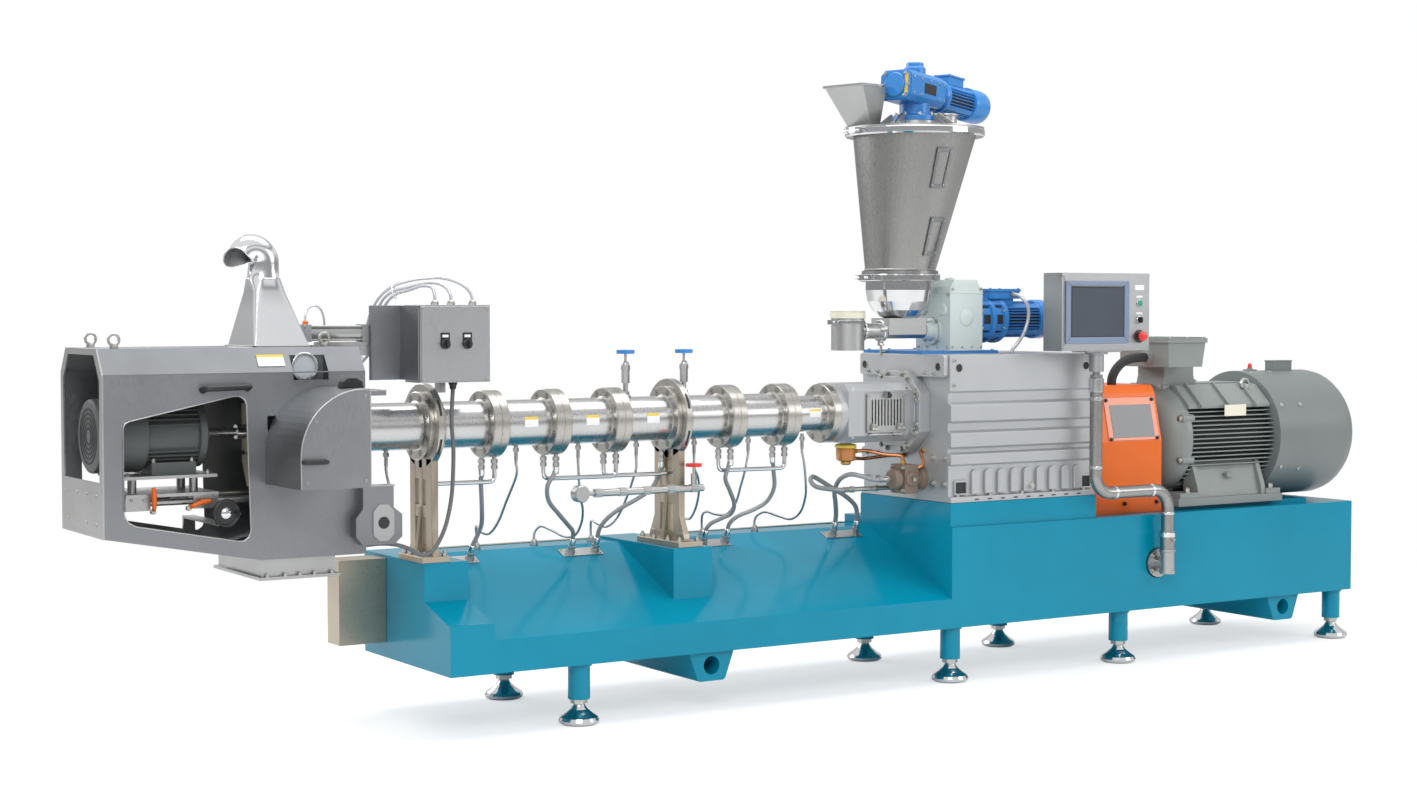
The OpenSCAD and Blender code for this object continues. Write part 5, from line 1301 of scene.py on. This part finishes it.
def duct_rings(inset, n=56):
    """Outline loops up the duct: square foot, round pipe, bend that ends on a slant."""
    def loop(m):
        out = []
        for k in range(n):
            a = 2 * pi * (k + 0.5) / n
            c, s = cos(a), sin(a)
            out.append((copysign(abs(c) ** (2 / m), c), copysign(abs(s) ** (2 / m), s)))
        return out
    rings = []
    # Height, centre, half sizes and how square the loop is: 2 is a circle
    steps = (
        (ENC_TOP, -510, 95, 125, 40),
        (ENC_TOP + 110, -518, 70, 85, 14),
        (ENC_TOP + 180, -523, 54, 60, 7),
        (DUCT_Z - 4, DUCT_X, 52, 50, 3.6),
        (DUCT_Z + 4, DUCT_X, PIPE, PIPE, 2.4),
        (DUCT_Z + 30, DUCT_X, PIPE, PIPE, 2),
    )
    for z, x, hx, hy, m in steps:
        rings.append([(x + (hx - inset) * c, (hy - inset) * s, z) for c, s in loop(m)])
    for i in range(23):
        ring = []
        for c, s in loop(2):
            end = 170 - 10 * c + 28 * s
            a = radians(end * i / 22)
            r = max(BEND_R + (PIPE - inset) * c, 3 + inset)
            ring.append((DUCT_X - BEND_R + r * cos(a), (PIPE - inset) * s, BEND_Z + r * sin(a)))
        rings.append(ring)
    return rings


def duct_shell(name, mat, outer, inner):
    """Closed shell between two insets of the duct's outline."""
    p = Part(name, mat, bevel=0, angle=40)
    out_r, in_r = duct_rings(outer), duct_rings(inner)
    n, k = len(out_r[0]), len(out_r)
    faces = []
    for r in range(k - 1):
        for c in range(n):
            d = (c + 1) % n
            faces.append((r * n + c, r * n + d, (r + 1) * n + d, (r + 1) * n + c))
            faces.append(((k + r) * n + c, (k + r + 1) * n + c, (k + r + 1) * n + d, (k + r) * n + d))
    for c in range(n):
        d = (c + 1) % n
        faces.append((c, k * n + c, k * n + d, d))
        faces.append(((k - 1) * n + c, (k - 1) * n + d, (2 * k - 1) * n + d, (2 * k - 1) * n + c))
    p.add([v for ring in out_r + in_r for v in ring], faces)
    return p


duct_shell("exhaust_duct_skin", "duct", 0, 3).done("exhaust_duct")
duct_shell("exhaust_duct_lining", "rough_cast", 3.2, 5).done()
mouth = duct_rings(0)[-1]
(
    Part("exhaust_mouth_lip", "duct")
    .sweep(mouth + mouth[:2], 2.4, 8)
    .ring((DUCT_X, 0, DUCT_Z - 3), UP, PIPE + 3, PIPE - 1, 4, 56, 1)
    .done()
)
foot = Part("duct_base", "satin", bevel=0.6)
for x0, x1, y0, y1 in ((-612, -408, -129, -119), (-612, -408, 119, 129), (-612, -602, -129, 129),
                       (-418, -408, -129, 129)):
    foot.box(x0, x1, y0, y1, ENC_TOP, ENC_TOP + 4)
foot.done()
(
    Part("inner_sheets", "dark_sheet", bevel=0.4)
    .prism([(-1110, 742), (-640, 650), (-640, 654), (-1110, 746)], "y", -205, 205)
    .prism([(-600, 648), (-360, 700), (-360, 704), (-600, 652)], "y", -190, 190)
    .done()
)
(
    Part("lock_plate", "satin", bevel=1)
    .box(-298, -178, -262, -217, 857, 861)
    .prism([(-258, 700), (-258, 776), (-236, 798), (-206, 798), (-184, 776), (-184, 700), (-206, 678),
            (-236, 678)][::-1], "y", -266, -262)
    .done()
)
# Dark disc on the lock plate: painted shade inside the key hole
Part("lock_hole_shade", "shade_and_seam_dark").cyl((-221, -266.4, 738), (-221, -265, 738), 20, 32).done()
strip = Part("enclosure_blank_label", "white", bevel=0.2)
m = turned((0, -190, 1270), -degrees(atan2(56, 80)))
strip.box(-622, -532, -2.6, -1.0, -22, 12, m)
strip.done()
Part("enclosure_blank_band", "yellow_plate", bevel=0.2).box(-622, -532, -2.6, -1.0, 12, 22, m).done()

# Die side, seen through the window
(
    Part("die_plate", "beige", bevel=1)
    .lathe((-322, 0, AX), LEFT, [(60, 0), (100, 0), (102, 2), (102, 8), (98, 10), (40, 10)], 64)
    .done()
)
ds = Part("die_screws", "zinc", bevel=0.3)
for y, z in circle(8, 82):
    ds.socket((-332, y, AX + z), LEFT, 8, 5)
ds.done()

# Cutter motor
cm = Part("cutter_motor_body", "motor_dark", body="cutter_carriage", bevel=0.8)
cm.lathe((-1108, 0, AX), RIGHT, [(60, 0), (108, 0), (116, 5), (118, 12), (118, 150), (114, 160), (92, 162)],
         64)
cm.cyl((-948, 0, AX), (-775, 0, AX), 90, 56)
for a in range(10, 360, 10):
    if not (70 < a < 112 or 250 < a < 292):
        cm.box(-944, -778, -1.6, 1.6, 88, 104, turned((0, 0, AX), a))
cm.lathe((-780, 0, AX), RIGHT, [(90, 0), (108, 3), (108, 24), (96, 30), (60, 38), (40, 45), (15, 45)], 64)
cm.box(-935, -790, -90, 90, 911, 950)
cm.box(-934, -846, -52, 52, AX + 86, AX + 130)
cm.box(-938, -842, -56, 56, AX + 130, AX + 140)
cm.done("cutter_motor")
# Dark rings on the fan end are painted shade inside the cover's slots
grille = Part("cutter_fan_slot_shade", "shade_and_seam_dark", body="cutter_carriage")
for k in range(5):
    grille.ring((-1108.6, 0, AX), LEFT, 30 + k * 15, 23 + k * 15, 0.8, 48)
grille.done()
cs = Part("cutter_screws", "zinc", body="cutter_carriage", bevel=0.3)
for y, z in circle(6, 98, 30):
    cs.hexbolt((-774, y, AX + z), RIGHT, 9, 5, False)
for x in (-1020, -760):
    for y in (-112, 112):
        cs.hexbolt((x, y, 911), UP, 13, 8)
for x in (-925, -800):
    for y in (-78, 78):
        cs.hexbolt((x, y, 950), UP, 13, 8)
for x in (-1015, -975, -795, -755):
    cs.socket((x, -136, 838), FRONT, 5, 4)
cs.done()
(
    Part("clamp_levers", "orange", body="cutter_carriage", bevel=1.2)
    .sweep([(-950, -142, 800), (-950, -156, 812), (-951, -160, 850), (-953, -160, 878)], 7, 16,
           [6, 7, 8.5, 6.5])
    .sweep([(-835, -142, 806), (-826, -156, 814), (-795, -160, 826), (-768, -160, 828)], 7, 16,
           [6, 7, 8.5, 6.5])
    .done()
)
hub = Part("clamp_hubs", "zinc", body="cutter_carriage", bevel=0.4)
for x, z in ((-950, 800), (-835, 806)):
    hub.cyl((x, -134, z), (x, -152, z), 8, 24, 1)
hub.done()

(
    Part("spindle_plate", "beige", body="cutter_carriage", bevel=1)
    .prism([(-60, 850), (60, 850), (104, 930), (104, 1150), (-104, 1150), (-104, 930)], "x", -566, -554)
    .done()
)
spb = Part("spindle_plate_bolts", "black_metal", body="cutter_carriage", bevel=0.3)
for y in (-84, -40, 40, 84):
    for z in (960, 1030, 1130):
        if abs(y) > 50 or z != 1030:
            spb.socket((-566, y, z), LEFT, 7, 6)
spb.done()

# Handwheel
HWX, HWZ = -731.0, 789.0
hw = Part("handwheel_rim", "black", body="cutter_handwheel", bevel=0)
rim = [(HWX + x, -198.5, HWZ + z) for x, z in circle(48, 40)]
hw.sweep(rim + rim[:2], 6, 14)
hw.lathe((HWX, -194, HWZ), FRONT, [(20, 0), (38, 1), (38, 6), (22, 7)], 48)
hw.lathe((HWX + 34, -204, HWZ), FRONT, [(4, 0), (6, 3), (7, 14), (5, 25), (3, 28)], 24)
hw.done("cutter_handwheel")
(
    Part("handwheel_hub", "polished", body="cutter_handwheel", bevel=0.4)
    .lathe((HWX, -144, HWZ), FRONT, [(8, 0), (8, 34), (19, 38), (19, 56), (12, 62), (6, 63)], 36)
    .done()
)

# Guard hood: bow handle, top grip, folded edges
(
    Part("hood_handle", "black", bevel=0.8)
    .sweep(bend_path([(-600, -519, 964), (-600, -540, 964), (-528, -540, 964), (-528, -519, 964)], 12), 7, 16)
    .done()
)
(
    Part("hood_top_grip", "black", bevel=4)
    .prism([(-424, 1185), (-344, 1185), (-350, 1206), (-370, 1218), (-398, 1218), (-418, 1206)], "y", -398,
           -364)
    .done()
)
he = Part("hood_edges", "satin", bevel=0.5)
arc = [(-400 + x, -519, 978 + z) for x, z in circle(60, 208)[15:31]]
he.sweep([(-377, -519, 880), (-377, -519, 1185)] + arc + [(-607, -519, 880)], 2.2, 8)
he.box(-379, -322, -521, -217, 1179, 1182)
he.done()
hs = Part("hood_screws", "zinc", bevel=0.3)
for y in (-500, -420, -320, -240):
    hs.socket((-350, y, 1180), UP, 5, 5)
for x, z in ((-590, 900), (-395, 900), (-395, 1165), (-560, 1090)):
    hs.socket((x, -520, z), FRONT, 4.5, 3.5)
hs.done()

# Air cylinder
ac = Part("air_cylinder_caps", "rough_cast", bevel=1.5)
CZ = ENC_TOP + 42
for x0, x1 in ((-391, -370), (-190, -165)):
    ac.box(x0, x1, -29, 29, CZ - 29, CZ + 29)
ac.done()
al = Part("air_cylinder_tube", "satin", bevel=0.8)
al.cyl((-371, 0, CZ), (-189, 0, CZ), 26, 48)
for s in (-1, 1):
    for t in (-1, 1):
        al.cyl((-394, s * 22, CZ + t * 22), (-162, s * 22, CZ + t * 22), 4, 14)
al.box(-340, -150, -30, 30, ENC_TOP, CZ - 30)
al.box(ER, -130, -30, 30, ENC_TOP - 34, ENC_TOP)
al.cyl((-165, 0, CZ), (-128, 0, CZ), 9, 24)
al.cyl((-140, 0, CZ), (-128, 0, CZ), 14, 6)
al.done("air_cylinder")
(
    Part("air_fittings", "orange", bevel=0.5)
    .lathe((-381, 0, CZ + 28), UP, [(8, 0), (10, 1), (10, 10), (7, 13)], 24)
    .lathe((-290, 60, ENC_TOP), UP, [(8, 0), (10, 1), (10, 10), (7, 13)], 24)
    .done()
)

# ---------------------------------------------------------------- control box on the barrel
(
    Part("control_box_body", "box_sheet", bevel=2)
    .box(-49, 212, -178, -60, 1188, 1449)
    .box(-44, 207, -181, -178, 1193, 1444)
    .done("control_box")
)
(
    Part("control_box_channel", "sheet", bevel=0.8)
    .prism([(-55, -178), (-51, -178), (-51, -30), (-167, -30), (-167, -50), (-163, -50), (-163, -34),
            (-55, -34)], "z", 1196, 1447)
    .done()
)
back = Part("control_box_rail", "satin", bevel=1)
back.box(60, 100, -64, -60, 1150, 1200)
back.box(-20, 180, -60, -44, 1220, 1240)
back.box(-20, 180, -60, -44, 1396, 1416)
back.done()
KNOB_X = (43, 125)
kn = Part("selector_knobs", "black", bevel=0.8)
for x in KNOB_X:
    kn.lathe((x, -181, 1318), FRONT, [(17, 0), (18, 2), (17, 8), (13, 10), (13, 14)], 36)
    kn.box(x - 4, x + 4, -206, -194, 1304, 1332)
kn.lathe((105, -110, 1188), DOWN, [(15, 0), (15, 8), (12, 12), (11, 22), (8, 26)], 24)
kn.done()
kp = Part("selector_blank_plates", "white", bevel=0.3)
ks0 = Part("selector_plates", "black", bevel=0.3)
for x in KNOB_X:
    kp.box(x - 11, x + 11, -183.4, -182, 1340, 1349)
    ks0.box(x - 17, x + 17, -182.4, -181, 1322, 1356)
kp.done()
ks0.done()
ks = Part("control_box_fittings", "zinc", bevel=0.4)
for x, y in ((34, -120), (94, -120), (195, -78)):
    ks.cyl((x, y, 1449), (x, y, 1456), 14, 6)
    ks.lathe((x, y, 1456), UP, [(12, 0), (12, 5), (8, 9), (6, 9)], 24)
for x in (-38, 201):
    for z in (1199, 1438):
        ks.socket((x, -181, z), FRONT, 5, 4)
for y, z in ((60, 1225), (95, 1225), (130, 1225), (-40, 790), (-120, 650)):
    ks.cyl((ER, y, z), (ER + 6, y, z), 13, 6)
ks.done()
tie = Part("conduit_ties", "white", bevel=0.5)
TIES = (
    ((-58, 6, 1492), (0.7, -0.5, 0.2), 30, 22),
    ((-100, 57, 1400), (0.1, -0.2, 0.9), 34, 20),
    ((-150, 85, 1268), (0.7, -0.1, 0.6), 44, 14),
)
for centre, d, wide, high in TIES:
    loop = [Vector(centre) + basis(d) @ Vector((wide * u, high * v, 0)) for u, v in circle(28, 1)]
    tie.sweep(loop + loop[:2], 2.2, 8)
tie.done()

# ---------------------------------------------------------------- operator terminal on its arm
PX, PY0, PZ0, PZ1 = HX + 675, -413.0, 1269.0, 1574.0  # middle, face, foot and top of the box
ARM_X, ARM_Y = HX + 1065, -358.0  # post of the arm
(
    Part("terminal_box", "box_sheet", body="panel", bevel=2.2)
    .box(PX - 229, PX + 229, PY0 + 1, -304, PZ0, PZ1)
    .box(PX - 219, PX + 219, PY0 - 1, PY0 + 3, PZ0 + 8, PZ1 - 8)
    .box(PX - 90, PX + 90, -403, -313, PZ0 - 6, PZ0)
    .ring((PX, ARM_Y, PZ0 - 83), UP, 29, 22.5, 77, 40, 1)
    .ring((PX, ARM_Y, PZ0 - 14), UP, 44, 28, 8, 48, 1.5)
    .box(PX - 205, PX - 150, -303, -298, PZ0 + 50, PZ1 - 50)
    .box(PX + 150, PX + 205, -303, -298, PZ0 + 50, PZ1 - 50)
    .done("panel_box")
)
BX0, BX1, BZ0, BZ1 = PX - 214, PX + 116, PZ0 + 29, PZ0 + 274
(
    Part("terminal_bezel", "bezel", body="panel", bevel=3.5)
    .prism([(BX0, BZ0), (BX1, BZ0), (BX1 - 26, BZ0 + 26), (BX0 + 26, BZ0 + 26)], "y", PY0 - 8, PY0 - 1)
    .prism([(BX0, BZ1), (BX0 + 26, BZ1 - 20), (BX1 - 26, BZ1 - 20), (BX1, BZ1)], "y", PY0 - 8, PY0 - 1)
    .prism([(BX0, BZ0), (BX0 + 26, BZ0 + 26), (BX0 + 26, BZ1 - 20), (BX0, BZ1)], "y", PY0 - 8, PY0 - 1)
    .prism([(BX1, BZ0), (BX1, BZ1), (BX1 - 26, BZ1 - 20), (BX1 - 26, BZ0 + 26)], "y", PY0 - 8, PY0 - 1)
    .done()
)
(
    Part("terminal_inner_frame", "black", body="panel", bevel=0.8)
    .box(BX0 + 24, BX1 - 24, PY0 - 5, PY0 - 1, BZ0 + 22, BZ1 - 22)
    .done()
)
(
    Part("terminal_screen", "screen", body="panel", bevel=0.6)
    .box(BX0 + 31, BX1 - 31, PY0 - 6, PY0 - 4, BZ0 + 29, BZ1 - 29)
    .done()
)
CXB = PX + 173
lab = Part("terminal_blank_label", "white", body="panel", bevel=0.3)
lab.box(CXB - 24, CXB + 24, PY0 - 2.2, PY0 - 1, PZ1 - 66, PZ1 - 46)
for z in (PZ1 - 92, PZ1 - 158):
    lab.box(CXB - 16, CXB + 16, PY0 - 2.2, PY0 - 1, z - 4, z + 4)
lab.done()
rg = Part("button_rings", "polished", body="panel", bevel=0.4)
for z in (PZ1 - 118, PZ1 - 184):
    rg.ring((CXB, PY0 - 1, z), FRONT, 15, 11, 5, 36, 1)
rg.done()
(
    Part("start_button", "green", body="panel", bevel=0.5)
    .lathe((CXB, PY0 - 1, PZ1 - 118), FRONT, [(11.5, 0), (11.5, 7), (9, 9), (4, 9.4)], 32)
    .done()
)
(
    Part("selector_switch", "black", body="panel", bevel=0.6)
    .lathe((CXB, PY0 - 1, PZ1 - 184), FRONT, [(11.5, 0), (11.5, 6), (9, 7)], 32)
    .box(CXB - 3.5, CXB + 3.5, PY0 - 20, PY0 - 7, PZ1 - 195, PZ1 - 173)
    .done()
)
(
    Part("stop_collar", "black", body="panel", bevel=0.5)
    .lathe((CXB, PY0 - 1, PZ0 + 56), FRONT, [(26, 0), (26, 3), (22, 5)], 40)
    .done()
)
(
    Part("stop_button", "red", body="panel", bevel=0.4)
    .lathe((CXB, PY0 - 1, PZ0 + 56), FRONT, [(11, 0), (11, 14), (19, 18), (20, 24), (17, 30), (9, 33),
                                             (3, 33.5)], 40)
    .done()
)
ps = Part("terminal_screws", "zinc", body="panel", bevel=0.3)
for x in (PX - 222, PX + 222):
    for z in (PZ0 + 12, PZ1 - 12):
        ps.socket((x, PY0, z), FRONT, 3.5, 3)
ps.done()
col = Part("arm_collars", "polished", body="arm", bevel=0.8)
col.ring((PX, ARM_Y, 1105), UP, 30, 24, 55, 40, 2)
col.ring((PX, ARM_Y, 1072), UP, 28, 24, 14, 40, 2)
for x0 in (PX + 92, ARM_X - 100):
    col.ring((x0, ARM_Y, 703), RIGHT, 28, 24, 12, 40, 2)
col.ring((PX, ARM_Y, 800), UP, 28, 24, 12, 40, 2)
col.ring((ARM_X, ARM_Y, 600), UP, 28, 24, 12, 40, 2)
col.ring((ARM_X, ARM_Y, 508), UP, 32, 27, 20, 40, 2)
col.done()
(
    Part("arm_clamp_screws", "zinc", body="arm", bevel=0.3)
    .socket((PX, -388, 1130), FRONT, 6, 5)
    .hexbolt((ARM_X, -387, 500), FRONT, 12, 8)
    .done()
)
(
    Part("arm_bracket_collar", "satin", bevel=1)
    .ring((ARM_X, -300, 399), BACK, 64, 28, 6, 56, 1.5)
    .ring((ARM_X, ARM_Y, 360), UP, 33, 28, 14, 40, 2)
    .ring((ARM_X, ARM_Y, 448), UP, 33, 28, 10, 40, 2)
    .done()
)
brs = Part("arm_bracket_bolts", "zinc", bevel=0.4)
for x, z in circle(4, 45, 45):
    brs.hexbolt((ARM_X + x, -310, 399 + z), FRONT, 14, 8)
brs.done()


# ---------------------------------------------------------------- CAD nodes that stay on show
LOOK = {  # material and edge bevel of each
    "base_frame": ("teal", 3), "levelling_feet": ("polished", 0), "lantern": ("cast", 2),
    "vent_door": ("satin", 0.5), "feeder_plate": ("sky", 1), "coupling_guard": ("orange", 1),
    "motor_cowl": ("cowl", 3), "hopper_shell": ("steel_z", 0), "hopper_lid": ("satin", 0.8),
    "hopper_bowl": ("polished", 0), "feeder_tube": ("satin", 1), "feeder_gearbox": ("pale_green", 2.5),
    "enclosure_shell": ("sheet", 0.8), "cutter_frame": ("satin", 0.8), "guard_hood": ("sheet", 1),
    "cutter_carriage": ("satin", 1), "cutter_spindle": ("turned", 0.6), "discharge_chute": ("satin", 0.6),
    "arm_bracket": ("satin", 1), "panel_arm": ("steel_z", 0.6),
}
for n, (mat, edge) in LOOK.items():
    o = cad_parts[n]
    o.data.materials.clear()
    o.data.materials.append(M[mat])
    finish_mesh(o, edge)


# ---------------------------------------------------------------- floor, light and finish
FLOOR_GLOW, FLOOR_ALBEDO = 0.58, 0.46


def floor_paint():
    """White floor to the camera, plain white away from the machine; pale for the light it throws back."""
    m = bpy.data.materials.new("floor_white")
    m.use_nodes = True
    nt = m.node_tree
    nt.nodes.clear()
    out = nt.nodes.new("ShaderNodeOutputMaterial")

    def glow(strength):
        e = nt.nodes.new("ShaderNodeEmission")
        e.inputs["Color"].default_value = (1, 1, 1, 1)
        e.inputs["Strength"].default_value = strength
        return e.outputs[0]

    def matt(v):
        d = nt.nodes.new("ShaderNodeBsdfDiffuse")
        d.inputs["Color"].default_value = (v, v, v, 1)
        return d.outputs[0]

    def mixed(fac, a, b):
        mx = nt.nodes.new("ShaderNodeMixShader")
        nt.links.new(fac, mx.inputs[0])
        nt.links.new(a, mx.inputs[1])
        nt.links.new(b, mx.inputs[2])
        return mx.outputs[0]

    near = nt.nodes.new("ShaderNodeAddShader")
    nt.links.new(glow(FLOOR_GLOW), near.inputs[0])
    nt.links.new(matt(FLOOR_ALBEDO), near.inputs[1])
    tc = nt.nodes.new("ShaderNodeTexCoord")
    mp = nt.nodes.new("ShaderNodeMapping")
    mp.inputs["Scale"].default_value = (1 / 5.5, 1 / 3.0, 1)
    ln = nt.nodes.new("ShaderNodeVectorMath")
    ln.operation = "LENGTH"
    nt.links.new(tc.outputs["Object"], mp.inputs[0])
    nt.links.new(mp.outputs[0], ln.inputs[0])
    far = spread(nt, ln.outputs["Value"], 0.0, 1.0, 0.62, 1.0)
    lp = nt.nodes.new("ShaderNodeLightPath")
    seen = mixed(far, near.outputs[0], glow(1.0))
    nt.links.new(mixed(lp.outputs["Is Camera Ray"], matt(0.86), seen), out.inputs[0])
    return m


bpy.ops.mesh.primitive_plane_add(size=60, location=(0, 0, -0.0005))
floor = bpy.context.object
floor.name = "floor"
floor.data.materials.append(floor_paint())


def area(name, loc, aim, size, watts, col=(1, 1, 1)):
    L = bpy.data.lights.new(name, "AREA")
    L.shape = "RECTANGLE"
    L.size, L.size_y = size
    L.energy = watts
    L.color = col
    o = bpy.data.objects.new(name, L)
    o.location = loc
    o.rotation_euler = (Vector(aim) - Vector(loc)).to_track_quat("-Z", "Y").to_euler()
    bpy.context.scene.collection.objects.link(o)


area("key", (-4.5, -6.5, 5.5), (0, 0, 0.9), (4.5, 3.0), 270)
area("fill", (5.5, -5.5, 3.5), (0.5, 0, 0.9), (4.0, 3.0), 110)
area("top", (0.2, 0.4, 6.5), (0, 0, 0.5), (7.0, 3.0), 260)
area("rim", (-3.0, 5.5, 3.6), (0, 0, 1.0), (5.0, 2.0), 120)

world = bpy.data.worlds.new("studio")
bpy.context.scene.world = world
world.use_nodes = True
nt = world.node_tree
nt.nodes.clear()
out = nt.nodes.new("ShaderNodeOutputWorld")
tc = nt.nodes.new("ShaderNodeTexCoord")
sep = nt.nodes.new("ShaderNodeSeparateXYZ")
ramp = nt.nodes.new("ShaderNodeValToRGB")
ramp.color_ramp.elements[0].position = 0.0
ramp.color_ramp.elements[0].color = (0.30, 0.30, 0.31, 1)
ramp.color_ramp.elements[1].position = 1.0
ramp.color_ramp.elements[1].color = (1.0, 1.0, 1.0, 1)
# Brightness from below (0) to above (1), with a dark line that shows in polished steel
SKY = ((0.46, 0.34), (0.51, 0.40), (0.57, 0.66), (0.63, 1.0), (0.69, 1.0), (0.735, 0.36), (0.79, 1.0))
for pos, v in SKY:
    el = ramp.color_ramp.elements.new(pos)
    el.color = (v, v, v * 1.01, 1)
mr = nt.nodes.new("ShaderNodeMapRange")
mr.inputs["From Min"].default_value = -1
mr.inputs["From Max"].default_value = 1
bg = nt.nodes.new("ShaderNodeBackground")
bg.inputs["Strength"].default_value = 0.85
white = nt.nodes.new("ShaderNodeBackground")
white.inputs["Color"].default_value = (1, 1, 1, 1)
white.inputs["Strength"].default_value = 1.0
lp = nt.nodes.new("ShaderNodeLightPath")
mix = nt.nodes.new("ShaderNodeMixShader")
nt.links.new(tc.outputs["Generated"], sep.inputs[0])
nt.links.new(sep.outputs["Z"], mr.inputs["Value"])
nt.links.new(mr.outputs[0], ramp.inputs[0])
nt.links.new(ramp.outputs[0], bg.inputs["Color"])
nt.links.new(lp.outputs["Is Camera Ray"], mix.inputs[0])
nt.links.new(bg.outputs[0], mix.inputs[1])
nt.links.new(white.outputs[0], mix.inputs[2])
nt.links.new(mix.outputs[0], out.inputs[0])

bpy.context.scene.view_settings.view_transform = "Standard"
